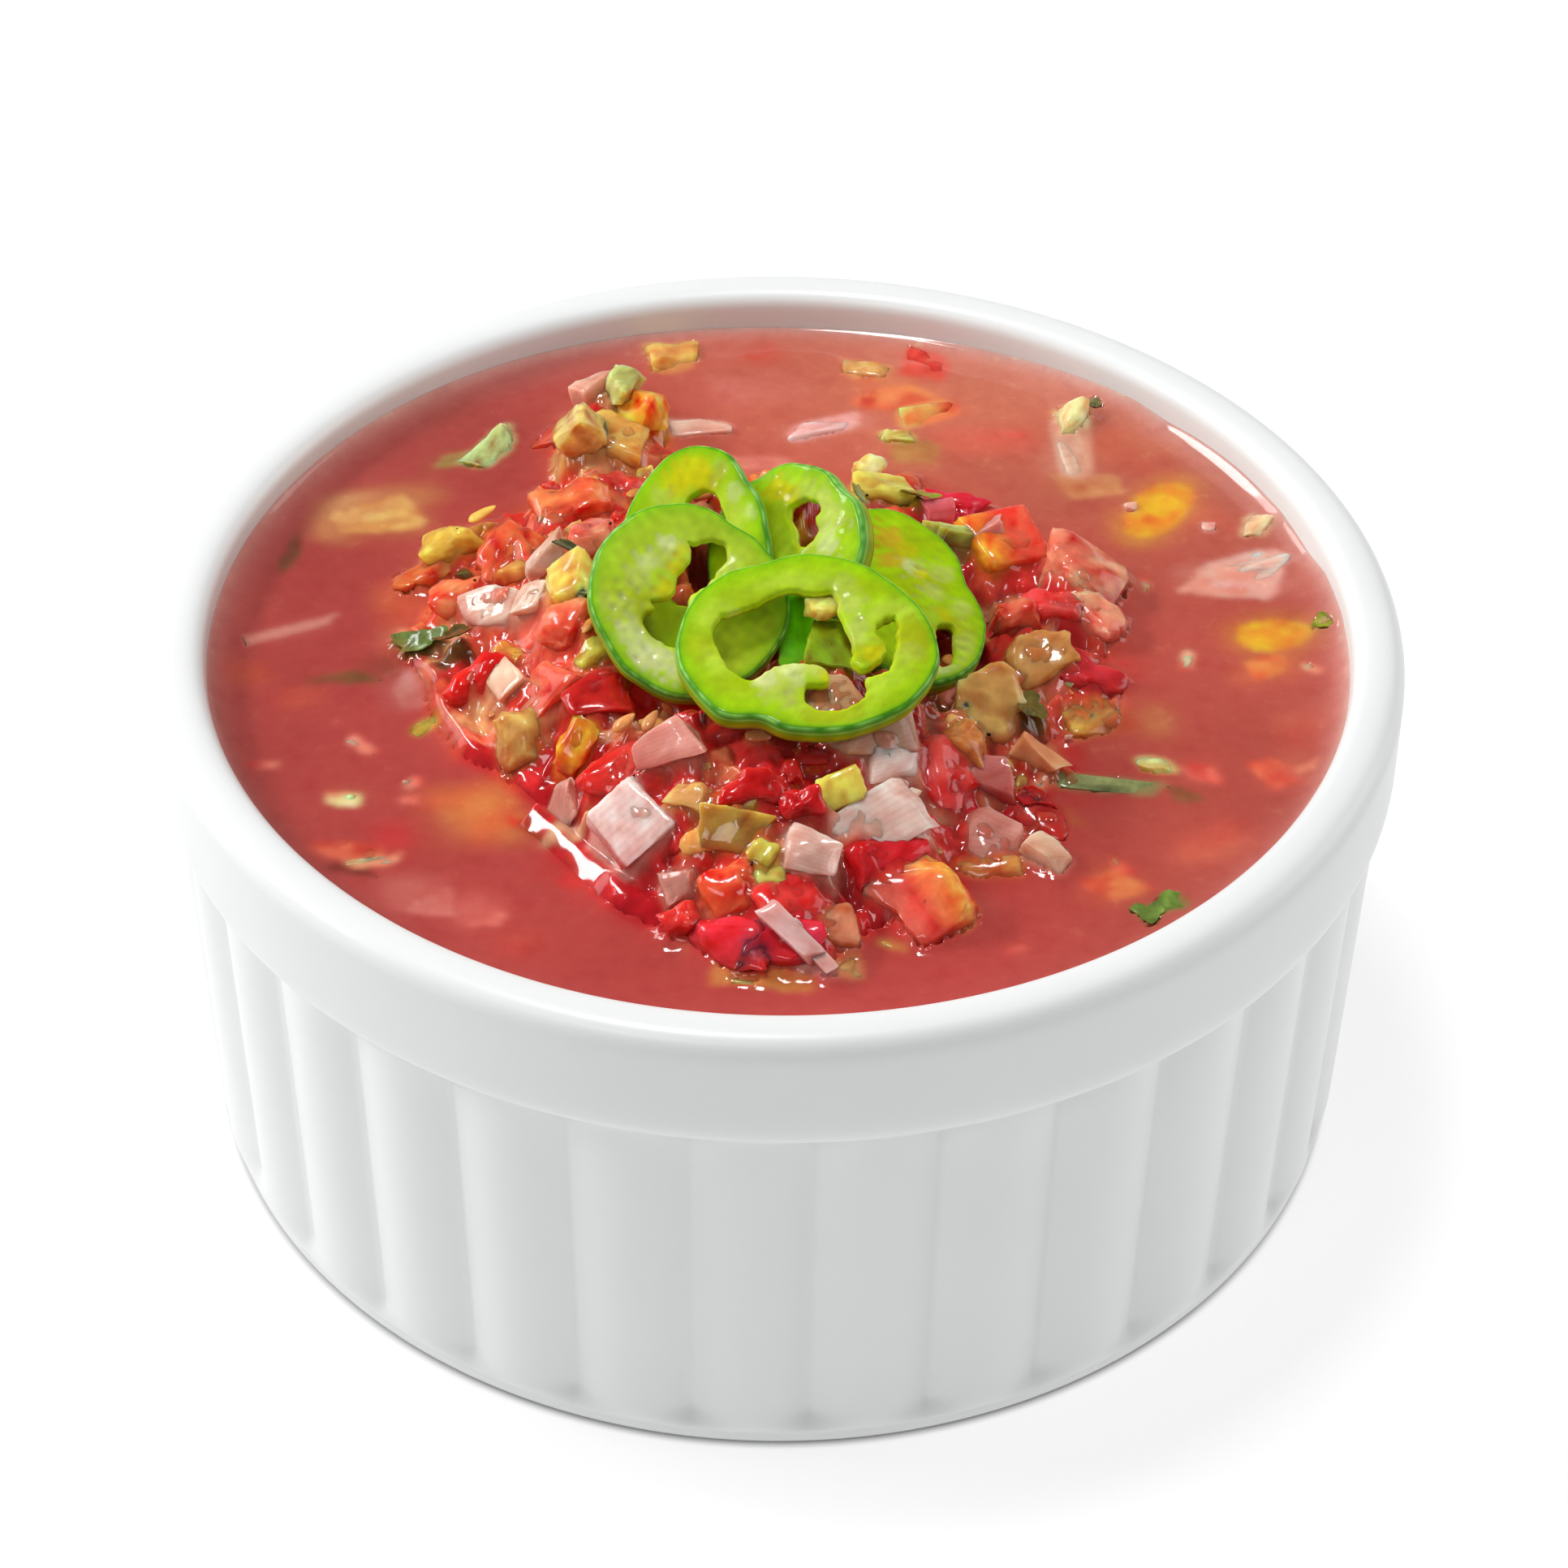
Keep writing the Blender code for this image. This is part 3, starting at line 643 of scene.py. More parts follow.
# Paler and yellower spots of the pith, in the same measure: place, size in millimetres, colour, strength.
PITH, CREAM, GOLD, RUST, DULL = (0.52, 0.605, 0.115), (0.70, 0.75, 0.36), (0.66, 0.60, 0.003), (0.72, 0.42, 0.020), (0.40, 0.42, 0.003)
SPOTS = {
    "pepper_slice_front": [(1220, 740, 2.2, DULL, 0.7), (930, 1020, 2.4, DULL, 0.55), (1050, 790, 1.3, DULL, 0.7), (480, 780, 1.5, DULL, 0.4), (720, 870, 1.5, PITH, 0.9), (800, 850, 1.3, CREAM, 0.8), (880, 850, 0.9, PITH, 0.9), (915, 870, 0.6, GOLD, 0.5), (760, 920, 1.6, PITH, 0.7), (700, 880, 1.0, CREAM, 0.7), (1000, 620, 1.2, PITH, 0.7),
                           (985, 560, 1.2, PITH, 0.45), (1030, 700, 1.0, PITH, 0.7), (1080, 790, 0.8, GOLD, 0.8), (1040, 740, 0.7, PITH, 0.6), (600, 655, 0.7, PITH, 0.6), (1200, 790, 1.0, PITH, 0.3)],
    "pepper_slice_left": [(270, 640, 2.2, DULL, 0.5), (310, 810, 1.4, CREAM, 0.8), (370, 420, 0.9, CREAM, 0.8), (350, 470, 1.0, PITH, 0.8), (270, 530, 1.2, PITH, 0.8), (300, 480, 0.9, CREAM, 0.5), (220, 640, 1.2, PITH, 0.7), (240, 720, 1.3, CREAM, 0.6), (290, 780, 1.2, CREAM, 0.7),
                          (360, 820, 1.2, CREAM, 0.6), (400, 860, 1.0, CREAM, 0.6), (400, 500, 0.7, GOLD, 0.8), (365, 570, 0.8, GOLD, 0.8), (415, 440, 0.6, GOLD, 0.6), (580, 480, 0.9, PITH, 0.8), (530, 560, 0.7, PITH, 0.7), (150, 620, 1.0, PITH, 0.4)],
    "pepper_slice_back_left": [(450, 170, 1.7, GOLD, 0.75), (400, 215, 1.3, GOLD, 0.7), (490, 190, 1.2, GOLD, 0.8), (560, 150, 0.9, PITH, 0.5), (350, 260, 0.9, PITH, 0.5), (600, 230, 0.8, CREAM, 0.5), (660, 300, 0.8, CREAM, 0.5)],
    "pepper_slice_back": [(745, 235, 1.1, GOLD, 0.85), (790, 245, 1.0, GOLD, 0.8), (850, 230, 1.0, PITH, 0.5), (905, 260, 0.9, PITH, 0.6), (930, 340, 1.3, PITH, 0.7), (920, 410, 1.2, CREAM, 0.6), (850, 380, 0.7, GOLD, 0.8)],
    "pepper_slice_right": [(1380, 720, 1.6, DULL, 0.6), (1280, 560, 1.4, DULL, 0.5), (1140, 400, 1.2, RUST, 0.8), (1160, 470, 1.0, RUST, 0.7), (1120, 470, 0.8, RUST, 0.5), (1200, 440, 1.0, GOLD, 0.6), (1230, 500, 1.0, PITH, 0.9), (1205, 490, 0.6, CREAM, 0.7), (1250, 520, 0.6, GOLD, 0.8), (1320, 520, 1.2, PITH, 0.7),
                           (1290, 580, 1.0, PITH, 0.8), (1390, 640, 1.0, PITH, 0.7), (1330, 660, 0.7, GOLD, 0.6), (1400, 760, 1.2, PITH, 0.6), (1330, 860, 1.1, CREAM, 0.5)],
}


# Dents (and, below zero, bulges) of the outlines: place, depth and half width in millimetres.
DENTS = {
    "pepper_slice_front": [(690, 1020, 0.40, 1.0), (560, 1000, -0.40, 1.4), (690, 500, 0.35, 1.5), (850, 1075, -0.15, 2.0)],
    "pepper_slice_left": [(150, 770, 0.25, 1.6), (300, 880, 0.25, 1.2), (640, 300, 0.3, 1.5)],
    "pepper_slice_back_left": [(640, 170, 0.35, 1.3)],
    "pepper_slice_back": [(690, 200, 0.3, 1.2), (980, 220, 0.3, 1.4)],
    "pepper_slice_right": [(1400, 560, 0.45, 1.4), (1260, 320, 0.2, 1.4)],
}


def smooth_loop(points, per=6):
    """A closed curve through the points."""
    p = np.array(points, float)
    n = len(p)
    out = []
    for i in range(n):
        a, b, c, d = p[i - 1], p[i], p[(i + 1) % n], p[(i + 2) % n]
        for k in range(per):
            t = k / per
            out.append(0.5 * ((2 * b) + (-a + c) * t + (2 * a - 5 * b + 4 * c - d) * t * t + (-a + 3 * b - 3 * c + d) * t ** 3))
    return np.array(out)


def even_loop(loop, step):
    """The closed curve, with points an even step apart."""
    q = np.vstack([loop, loop[:1]])
    d = np.r_[0, np.cumsum(np.hypot(*np.diff(q, axis=0).T))]
    m = max(8, int(d[-1] / step))
    s = np.arange(m) * d[-1] / m
    return np.stack([np.interp(s, d, q[:, 0]), np.interp(s, d, q[:, 1])], 1)


def inside(points, loop):
    x, y = points[:, 0][:, None], points[:, 1][:, None]
    x0, y0 = loop[:, 0][None], loop[:, 1][None]
    x1, y1 = np.roll(loop[:, 0], -1)[None], np.roll(loop[:, 1], -1)[None]
    cross = ((y0 > y) != (y1 > y)) & (x < (x1 - x0) * (y - y0) / (y1 - y0 + 1e-12) + x0)
    return cross.sum(1) % 2 == 1


def nearest(points, loop):
    d = np.full(len(points), 1e9)
    for i in range(0, len(points), 2000):
        q = points[i:i + 2000]
        d[i:i + 2000] = np.sqrt(((q[:, None] - loop[None]) ** 2).sum(-1)).min(1)
    return d


def make_slice(name, s, seed):
    rs = np.random.RandomState(seed)
    normal, ex, ey = slice_frame(s)
    centre = np.array(s["at"])
    top_at = centre + normal * SLICE_T / 2
    phi = np.linspace(0, 2 * math.pi, 260, endpoint=False)
    r = slice_radius(s, phi) + 0.035 * np.sin(11 * phi + rs.uniform(0, 6)) + 0.014 * np.sin(23 * phi + rs.uniform(0, 6))

    def on_slice(x, y):
        d = ray(690 + x / 2.8, 520 + y / 2.8)
        q = CAM_AT + d * (((top_at - CAM_AT) @ normal) / (d @ normal)) - top_at
        return (q @ ex, q @ ey)
    for dx, dy, depth, width in DENTS.get(name, ()):
        u, v = on_slice(dx, dy)
        turn = (phi - math.atan2(v, u) + math.pi) % (2 * math.pi) - math.pi
        r = r - depth * np.exp(-(turn * np.hypot(u, v) / width) ** 2)
    outer = even_loop(np.stack([r * np.cos(phi), r * np.sin(phi)], 1), 0.26)
    holes = []
    for hole in HOLES[name]:
        pts = [on_slice(x, y) for x, y in hole]
        loop = even_loop(smooth_loop(pts), 0.20)
        loop = loop + 0.060 * np.stack([sines(np.c_[loop, loop[:, :1] * 0], rs, 0.9), sines(np.c_[loop, loop[:, :1] * 0], rs, 0.9)], 1)
        wall = np.hypot(loop[:, 0], loop[:, 1]) / slice_radius(s, np.arctan2(loop[:, 1], loop[:, 0]))
        keep = np.minimum(1.0, 0.84 / np.maximum(wall, 1e-6))          # a hole never breaks through the skin
        holes.append(loop * keep[:, None])
    lo, hi = outer.min(0), outer.max(0)
    step = 0.23
    gx, gy = np.meshgrid(np.arange(lo[0], hi[0], step), np.arange(lo[1], hi[1], step * 0.866))
    gx = gx + (np.arange(gx.shape[0]) % 2)[:, None] * step / 2
    grid = np.stack([gx.ravel(), gy.ravel()], 1) + rs.uniform(-0.05, 0.05, (gx.size, 2))
    ok = inside(grid, outer) & (nearest(grid, outer) > 0.42)
    for h in holes:
        ok &= ~inside(grid, h)
        ok &= nearest(grid, h) > 0.34
    extra = []
    for loop, sign in [(outer, 1)] + [(h, -1) for h in holes]:
        tang = np.roll(loop, -1, 0) - np.roll(loop, 1, 0)
        area = 0.5 * (loop[:, 0] * np.roll(loop[:, 1], -1) - np.roll(loop[:, 0], -1) * loop[:, 1]).sum()
        nrm = np.stack([-tang[:, 1], tang[:, 0]], 1) / np.hypot(*tang.T)[:, None] * math.copysign(1, area) * sign
        for off in (0.07, 0.17, 0.29):
            q = loop + nrm * off
            good = inside(q, outer)
            d = nearest(q, outer)
            for h in holes:
                good &= ~inside(q, h)
                d = np.minimum(d, nearest(q, h))
            extra.append(q[good & (d > off * 0.8)])
    loops = [outer] + holes
    pts = np.concatenate(loops + extra + [grid[ok]])
    edges, base = [], 0
    for loop in loops:
        m = len(loop)
        edges += [(base + i, base + (i + 1) % m) for i in range(m)]
        base += m
    vo, _, fo, orig, _, _ = delaunay_2d_cdt([Vector(p) for p in pts], edges, [], 0, 1e-6)
    vo = np.array([tuple(v) for v in vo])
    tri = np.array([f for f in fo if len(f) == 3])
    mid = vo[tri].mean(1)
    keep = inside(mid, outer)
    for h in holes:
        keep &= ~inside(mid, h)
    tri = tri[keep]
    used = np.unique(tri)
    remap = -np.ones(len(vo), int); remap[used] = np.arange(len(used))
    tri, vo = remap[tri], vo[used]
    a, b, c = vo[tri[:, 0]], vo[tri[:, 1]], vo[tri[:, 2]]
    flip = ((b - a)[:, 0] * (c - a)[:, 1] - (b - a)[:, 1] * (c - a)[:, 0]) < 0
    tri[flip] = tri[flip][:, ::-1]
    du = nearest(vo, outer)
    di = np.full(len(vo), 9.0)
    for h in holes:
        di = np.minimum(di, nearest(vo, h))

    def drop(d, e):
        q = 1 - np.minimum(d / e, 1)
        return e * (1 - np.sqrt(np.maximum(0, 1 - q * q)))
    p3 = np.c_[vo, np.zeros(len(vo))]
    wave = sines(p3, rs, 4.0) * 0.030 + sines(p3, rs, 1.2) * 0.006 + sines(p3, rs, 0.5) * 0.004
    half = SLICE_T / 2
    thin = np.clip(di / 1.6, 0, 1)
    low = -half + drop(du, 0.24) + drop(di, 0.30) + 0.55 * (1 - thin) ** 1.5 + 0.02
    n = len(vo)
    w = np.clip(du / np.maximum(du + di, 0.3), 0, 1)
    # colours: dark skin, bright flesh, pale pith and yellow towards the seed cavity
    n1, n2, n3 = sines(p3, rs, 3.4), sines(p3, rs, 1.1), sines(p3, rs, 0.55, 8)
    green = np.array([0.20, 0.50, 0.002])
    flesh = np.array([0.385, 0.585, 0.003]) + np.array([0.02, 0.07, 0.0]) * np.clip(n1, -1, 1)[:, None]
    if name == "pepper_slice_left":
        flesh = flesh * 0.7 + np.array([0.56, 0.66, 0.080]) * 0.3
    pale = np.array([0.50, 0.66, 0.050])
    skin = np.array([0.050, 0.26, 0.006])
    k = np.exp(-((du / 0.75) ** 2))[:, None]
    col = flesh * (1 - k * 0.7) + green * k * 0.7
    k = np.clip((di < 8) * np.exp(-((di - 0.7) / 0.8) ** 2) * (0.45 + 0.30 * n1), 0, 1)[:, None]
    col = col * (1 - k) + pale * k
    for sx, sy, size, tone, much in SPOTS[name]:
        cx, cy = on_slice(sx, sy)
        d2 = ((vo[:, 0] - cx) ** 2 + (vo[:, 1] - cy) ** 2) / (size * 0.85) ** 2
        d2 = d2 * np.clip(1 + 0.50 * n2 + 0.20 * n3, 0.2, 3.0)
        k = np.clip(1.5 * much * (np.exp(-d2 ** 1.5) - 0.10) * np.clip((du - 0.40) / 0.4, 0, 1), 0, much * (0.94 + 0.06 * n3))[:, None]
        col = col * (1 - k) + np.array(tone) * k
        wave = wave + 0.022 * np.exp(-d2) * n2 * np.clip((du - 0.5) / 0.6, 0, 1)
    k = np.clip(np.exp(-((np.maximum(du - 0.12, 0) / 0.13) ** 2)), 0, 1)[:, None]
    col = col * (1 - k) + skin * k
    # painted highlight: a pale green line along the very edge of the skin
    k = np.clip((0.15 - du) / 0.08, 0, 1)[:, None] * (0.55 + 0.45 * np.clip(n2, -1, 1))[:, None]
    col = col * (1 - k) + np.array([0.30, 0.60, 0.16]) * k
    col = col * (1 + 0.06 * n2 + 0.04 * n3)[:, None]
    if name == "pepper_slice_left":                                 # painted light: the flesh seen through the front slice's hole is lightened where the front slice shades it
        cx, cy = on_slice(660, 770)
        col = col * (1 + np.array([0.32, 0.26, 0.0]) * np.exp(-((vo[:, 0] - cx) ** 2 + (vo[:, 1] - cy) ** 2) / 2.6 ** 2)[:, None])
    top = half - drop(du, 0.22) - drop(di, 0.20) - 0.16 * (1 - thin) + wave * np.clip(np.minimum(du, di) / 0.3, 0, 1) - 0.05
    verts = np.concatenate([np.c_[vo, top], np.c_[vo, low]])
    # painted shade: the underside gets a darker copy of the colours
    cols = np.concatenate([col, col * np.array([0.9, 0.8, 0.8])])
    faces = [tuple(t) for t in tri.tolist()] + [tuple((t[::-1] + n).tolist()) for t in tri]
    # the walls, on every edge of the sheet that only one triangle has
    seen = {}
    for t in tri.tolist():
        for i in range(3):
            e = (t[i], t[(i + 1) % 3])
            seen[e] = True
    rim_edges = [e for e in seen if (e[1], e[0]) not in seen]
    is_outer = du < 0.03
    steps = 8
    wall_index, extra_v, extra_c = {}, [], []

    def wall_vert(i, k):
        if k == 0:
            return i
        if k == steps:
            return i + n
        if (i, k) not in wall_index:
            f = k / steps
            z = top[i] + (low[i] - top[i]) * f
            bulge = 0.09 * math.sin(math.pi * f) * (1 if is_outer[i] else 0.6)
            q = vo[i] * (1 + bulge / max(np.hypot(*vo[i]), 0.1) * (1 if is_outer[i] else -1))
            wall_index[(i, k)] = 2 * n + len(extra_v)
            extra_v.append((q[0], q[1], z))
            if is_outer[i]:
                # painted light on the outer skin wall: a pale highlight stripe under the dark top line, and a
                # yellow-olive glow growing towards its foot
                wall_tones_painted_light = ((0.0, skin), (0.10, skin), (0.22, (0.32, 0.56, 0.12)), (0.36, (0.20, 0.38, 0.010)), (0.62, (0.30, 0.38, 0.006)), (0.85, (0.44, 0.36, 0.006)), (1.0, (0.46, 0.28, 0.008)))
                c = np.array([np.interp(f, [t[0] for t in wall_tones_painted_light], [t[1][b] for t in wall_tones_painted_light]) for b in range(3)])
                c = c * (1.0 + 0.12 * math.sin(3.1 * q[0] + 1.3 * q[1]))
            else:
                # painted light: the holes' walls are lightened, standing in for light coming through the flesh
                c = col[i] * np.array([1.35, 1.25, 1.2])
            extra_c.append(c)
        return wall_index[(i, k)]
    for i, j in rim_edges:
        for k in range(steps):
            faces.append((wall_vert(i, k), wall_vert(i, k + 1), wall_vert(j, k + 1), wall_vert(j, k)))
    verts = np.concatenate([verts, np.array(extra_v)])
    cols = np.concatenate([cols, np.array(extra_c)])
    for i in range(n):
        if is_outer[i]:
            cols[i] = col[i] * 0.5 + skin * 0.6
            cols[i + n] = skin
    world = centre + verts[:, :1] * ex + verts[:, 1:2] * ey + verts[:, 2:3] * normal
    ob = make_mesh(name + "_cut", world, faces, M_PEPPER, tint=cols, sharp=60)
    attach(ob, "root"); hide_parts(name)
    return ob


# ------------------------------------------------------------------ the heap: core and diced pieces
CORE_DROP = 1.5
TOMATO = Batch("tomato_dice", M_TOMATO, "vegetables")
ONION = Batch("onion_dice", M_ONION, "onion")
OLIVE = Batch("pale_pepper_dice", M_OLIVE, "vegetables")
HERB = Batch("herb_bits", M_HERB, "herbs")
SEED = Batch("tomato_seeds", M_SEED, "vegetables")
SPECK = Batch("pepper_specks", M_SEED, "vegetables")

RED, DEEP, SALMON, ORANGE = (0.52, 0.016, 0.010), (0.33, 0.006, 0.006), (0.66, 0.075, 0.035), (0.66, 0.17, 0.035)
PINKISH, WHITE_ONION = (0.66, 0.33, 0.27), (0.80, 0.56, 0.46)
OLIVE_C, YELLOW_OLIVE = (0.48, 0.25, 0.07), (0.66, 0.43, 0.12)
LEAF_DARK, LEAF, LEAF_PALE = (0.060, 0.075, 0.016), (0.13, 0.19, 0.045), (0.36, 0.38, 0.16)
SEED_C, MAGENTA, BROWN = (0.62, 0.31, 0.085), (0.56, 0.035, 0.055), (0.20, 0.075, 0.03)


def core_height(x, y):
    z = heap_top(x, y) - CORE_DROP
    s = heap_share(x, y)
    edge = np.clip((s - 0.80) / 0.20, 0, 1)
    z = np.minimum(z, LEVEL + 3.0 + (z - LEVEL - 3.0))
    return z * (1 - edge ** 2) + (LEVEL - 2.2) * edge ** 2


def spot(px, py, lift=0.0, flat=None):
    """Where the line of sight through a place in the photograph meets the heap, or a level plane."""
    d = ray(px, py)
    if flat is not None:
        return CAM_AT + d * ((flat - CAM_AT[2]) / d[2])
    t = (56.0 - CAM_AT[2]) / d[2]
    t_end = (LEVEL - 3.0 - CAM_AT[2]) / d[2]
    while t < t_end:
        p = CAM_AT + d * t
        h = heap_top(p[0], p[1]) + lift if heap_share(p[0], p[1]) < 1.02 else LEVEL + lift * 0.3
        if p[2] <= h:
            return p
        t += 0.12
    return CAM_AT + d * t_end


LIP_ENDS = (spot(654, 996, flat=LEVEL + 0.6), spot(748, 1076, flat=LEVEL + 0.6))


def slope_up(x, y, much=0.7):
    e = 1.2
    f = lambda a, b: float(core_height(np.float64(a), np.float64(b)))
    gx, gy = (f(x + e, y) - f(x - e, y)) / (2 * e), (f(x, y + e) - f(x, y - e)) / (2 * e)
    v = np.array([-gx * much, -gy * much, 1.0])
    return v / np.linalg.norm(v)


def shade(colour, rs, spread=0.12):
    k = 1 + rs.uniform(-spread, spread)
    return np.array(colour) * k * (1 + rs.uniform(-spread, spread, 3) * 0.5)


placed = []
GAIN = {"tomato_dice": (1.30, 1.10, 1.05), "onion_dice": (1.20, 1.18, 1.12), "pale_pepper_dice": (1.40, 1.28, 1.05), "herb_bits": (1.0, 1.0, 1.0),
        "tomato_seeds": (1.2, 1.1, 1.0)}
RUN = {                              # what a piece's colour runs to across it
    "tomato_dice": ((1.10, 2.2, 1.6), (0.75, 0.35, 0.4), (1.15, 3.0, 2.4), (1.1, 1.5, 0.8)),
    "onion_dice": ((1.12, 1.25, 1.30), (0.90, 0.62, 0.60), (1.0, 0.85, 0.70)),
    "pale_pepper_dice": ((1.15, 1.25, 0.9), (1.15, 0.72, 0.5), (0.80, 0.85, 0.7), (1.2, 1.3, 1.7)),
    "herb_bits": ((1.3, 1.3, 1.2),),
    "tomato_seeds": ((1.0, 1.0, 1.0),),
}
MOTTLE = {
    "tomato_dice": ((0.84, 0.42, 0.42), (1.10, 1.55, 1.50)),
    "onion_dice": ((0.90, 0.76, 0.74), (1.06, 1.16, 1.18)),
    "pale_pepper_dice": ((0.84, 0.64, 0.55), (1.14, 1.30, 1.30)),
    "herb_bits": ((0.75, 0.75, 0.70), (1.30, 1.25, 1.20)),
    "tomato_seeds": ((0.90, 0.78, 0.70), (1.08, 1.15, 1.15)),
}


def put(batch, kind, at, size, yaw, tilt=0.0, tilt_dir=0.0, colour=RED, rs=None, side=None, level=False, up=None, sink=0.45, stain=True, lid=True, free=False, run=1.0, **shape):
    """Adds one piece, with its middle a little under the point `at` on the surface."""
    if kind == "chunk":
        p, f, l = chunk(size, rs, **shape)
    elif kind == "ball":
        p, f, l = ball(size, rs, **shape)
    else:
        p, f, l = leaf(size, rs, **shape)
    if up is None:
        up = (0, 0, 1) if level else slope_up(at[0], at[1])
    p = turned(p, yaw, tilt, tilt_dir, up)
    thick = size[2] if len(size) > 2 else 0.3
    c = np.broadcast_to(shade(colour, rs), p.shape).copy()
    if side is not None:
        axis, sign, colour2, start = side
        k = np.clip((sign * l[:, axis] - start) / max(0.08, 1 - start), 0, 1)[:, None] ** 0.6
        c = c * (1 - k) + np.array(colour2) * k
    elif kind == "chunk" and max(size) > 1.6:
        way = rs.normal(size=3)
        k = np.clip((l @ (way / np.linalg.norm(way))) * 0.75 + rs.uniform(-0.2, 0.3), 0, 1)[:, None] * rs.uniform(0.35, 0.9) * run
        c = c * (1 - k) + c * np.array(RUN[batch.name][rs.randint(len(RUN[batch.name]))]) * k
    # painted light: each piece's edges are lightened, standing in for light through thin edges and their highlights
    if kind == "chunk":
        far = np.sort(np.abs(l), axis=1)
        k = (np.clip((far[:, 1] - 0.80) / 0.20, 0, 1) ** 1.5)[:, None] * 0.5
        c = c * (1 - k) + np.minimum(c * np.array((1.15, 1.25, 1.25)) + 0.03, 0.95) * k
    c = c * np.array(GAIN[batch.name])
    m = (0.5 + 0.44 * sines(p, rs, 2.0) + 0.26 * sines(p, rs, 0.8))[:, None]
    low_c, high_c = MOTTLE[batch.name]
    c = c * (np.array(low_c) * (1 - m) + np.array(high_c) * m)
    centre = np.array(at, float) - np.array(up) * thick * sink
    along, out_by, far = lip_place(p[:, 0] + centre[0], p[:, 1] + centre[1])
    if not free and lip_place(*centre[:2])[1] < 0.2 and -6 < lip_place(*centre[:2])[0] < far + 6:      # pieces beside the lip end at its brow
        over = 0.5 * (out_by + 0.42 + np.sqrt((out_by + 0.42) ** 2 + 0.10 ** 2)) * np.clip((along + 1.6) / 1.2, 0, 1) * np.clip((far + 3.0 - along) / 1.2, 0, 1)
        over = np.where(out_by < 6.0, over, 0.0)
        way = (LIP_ENDS[1] - LIP_ENDS[0])[:2] / far
        p[:, 0] -= over * way[1]
        p[:, 1] += over * way[0]
    if batch is not HERB or kind == "chunk":                       # nothing reaches into the slices that lie on top
        px, py = p[:, 0] + centre[0], p[:, 1] + centre[1]
        cap = np.minimum(rest_height(px, py, margin=0.35, gap=0.05), rest_height(px, py, margin=1.3, gap=0.10, only="pepper_slice_right"))
        if lid:
            p[:, 2] = np.minimum(p[:, 2], cap - centre[2])
        along, out_by, far = lip_place(px, py)                          # nor out of the lip's smooth slope
        away = np.maximum(np.maximum(-0.3 - along, along - far - 1.6), 0) + np.maximum(-0.45 - out_by, 0) + np.maximum(out_by - 1.4, 0)
        if not free:
            p[:, 2] = np.minimum(p[:, 2], lip_film(along, out_by, far) - 0.42 + 3.2 * away - centre[2])
    wet_to = float(heap_top(np.float64(at[0]), np.float64(at[1]))) if stain else -99.0
    if stain and heap_share(at[0], at[1]) > 1.0:
        wet_to = LEVEL + 0.2
    k = np.clip((wet_to - 0.05 - (p[:, 2] + centre[2])) / 1.7, 0, 0.80)[:, None]
    c = c * (1 - k) + np.array((0.50, 0.030, 0.026)) * k
    batch.add(p + centre, f, np.clip(c, 0, 1), l)
    placed.append((at[0], at[1], max(size[0], size[1]) / 2))


def hero(px, py, what, size, yaw=0.0, tilt=0.0, tilt_dir=0.0, colour=None, lift=0.0, seed=0, **kw):
    rs = np.random.RandomState(seed * 7919 + int(px) * 31 + int(py))
    at = spot(px, py, lift)
    batch, kind, base, shape = KINDS[what]
    shape = dict(shape)
    shape.update(kw)
    put(batch, kind, at, size, yaw, tilt, tilt_dir, colour if colour is not None else base, rs, **shape)


KINDS = {
    "tomato": (TOMATO, "chunk", SALMON, dict(n=10, warp=0.24, rough=0.20, cuts=3, edge=0.62, fine=0.045)),
    "red": (TOMATO, "chunk", RED, dict(n=10, warp=0.24, rough=0.26, cuts=2, edge=0.80, fine=0.045)),
    "onion": (ONION, "chunk", PINKISH, dict(n=8, warp=0.26, rough=0.08, cuts=3, edge=0.34, fine=0.015)),
    "olive": (OLIVE, "chunk", YELLOW_OLIVE, dict(n=10, warp=0.22, rough=0.16, cuts=3, edge=0.60, fine=0.035)),
    "leaf": (HERB, "leaf", LEAF, dict()),
    "yellow": (OLIVE, "ball", YELLOW_OLIVE, dict(n=9, taper=0.0, rough=0.02)),
    "flake": (ONION, "chunk", PINKISH, dict(n=8, warp=0.40, rough=0.14, cuts=4, edge=0.50, fine=0.03)),
    "thread": (ONION, "chunk", PINKISH, dict(n=8, warp=0.10, rough=0.10, cuts=0, edge=0.80, fine=0.01)),
    "strip": (HERB, "chunk", LEAF_PALE, dict(n=8, warp=0.10, rough=0.10, cuts=0, edge=0.7, fine=0.02)),
    "seed": (SEED, "ball", SEED_C, dict(n=6, taper=0.45)),
}


def disc(rings):
    """A disc of rings with 6 k points each, as (ring, angle) pairs, and its triangles."""
    ring, turn = [0], [0.0]
    for k in range(1, rings + 1):
        ring += [k] * (6 * k)
        turn += (2 * math.pi * np.arange(6 * k) / (6 * k)).tolist()
    faces = []
    starts = np.cumsum([0, 1] + [6 * k for k in range(1, rings)])
    for k in range(1, rings + 1):
        a0, b0 = (starts[k - 1], starts[k]) if k > 1 else (0, 1)
        na, nb = (6 * (k - 1), 6 * k) if k > 1 else (1, 6)
        for s in range(6):
            for m in range(k):
                p0, p1 = b0 + (s * k + m) % nb, b0 + (s * k + m + 1) % nb
                q0 = a0 + (s * (k - 1) + m) % na if k > 1 else 0
                faces.append((int(q0), int(p0), int(p1)))
                if m < k - 1:
                    faces.append((int(q0), int(p1), int(a0 + (s * (k - 1) + m + 1) % na)))
    return np.array(ring), np.array(turn), faces, int(starts[rings])


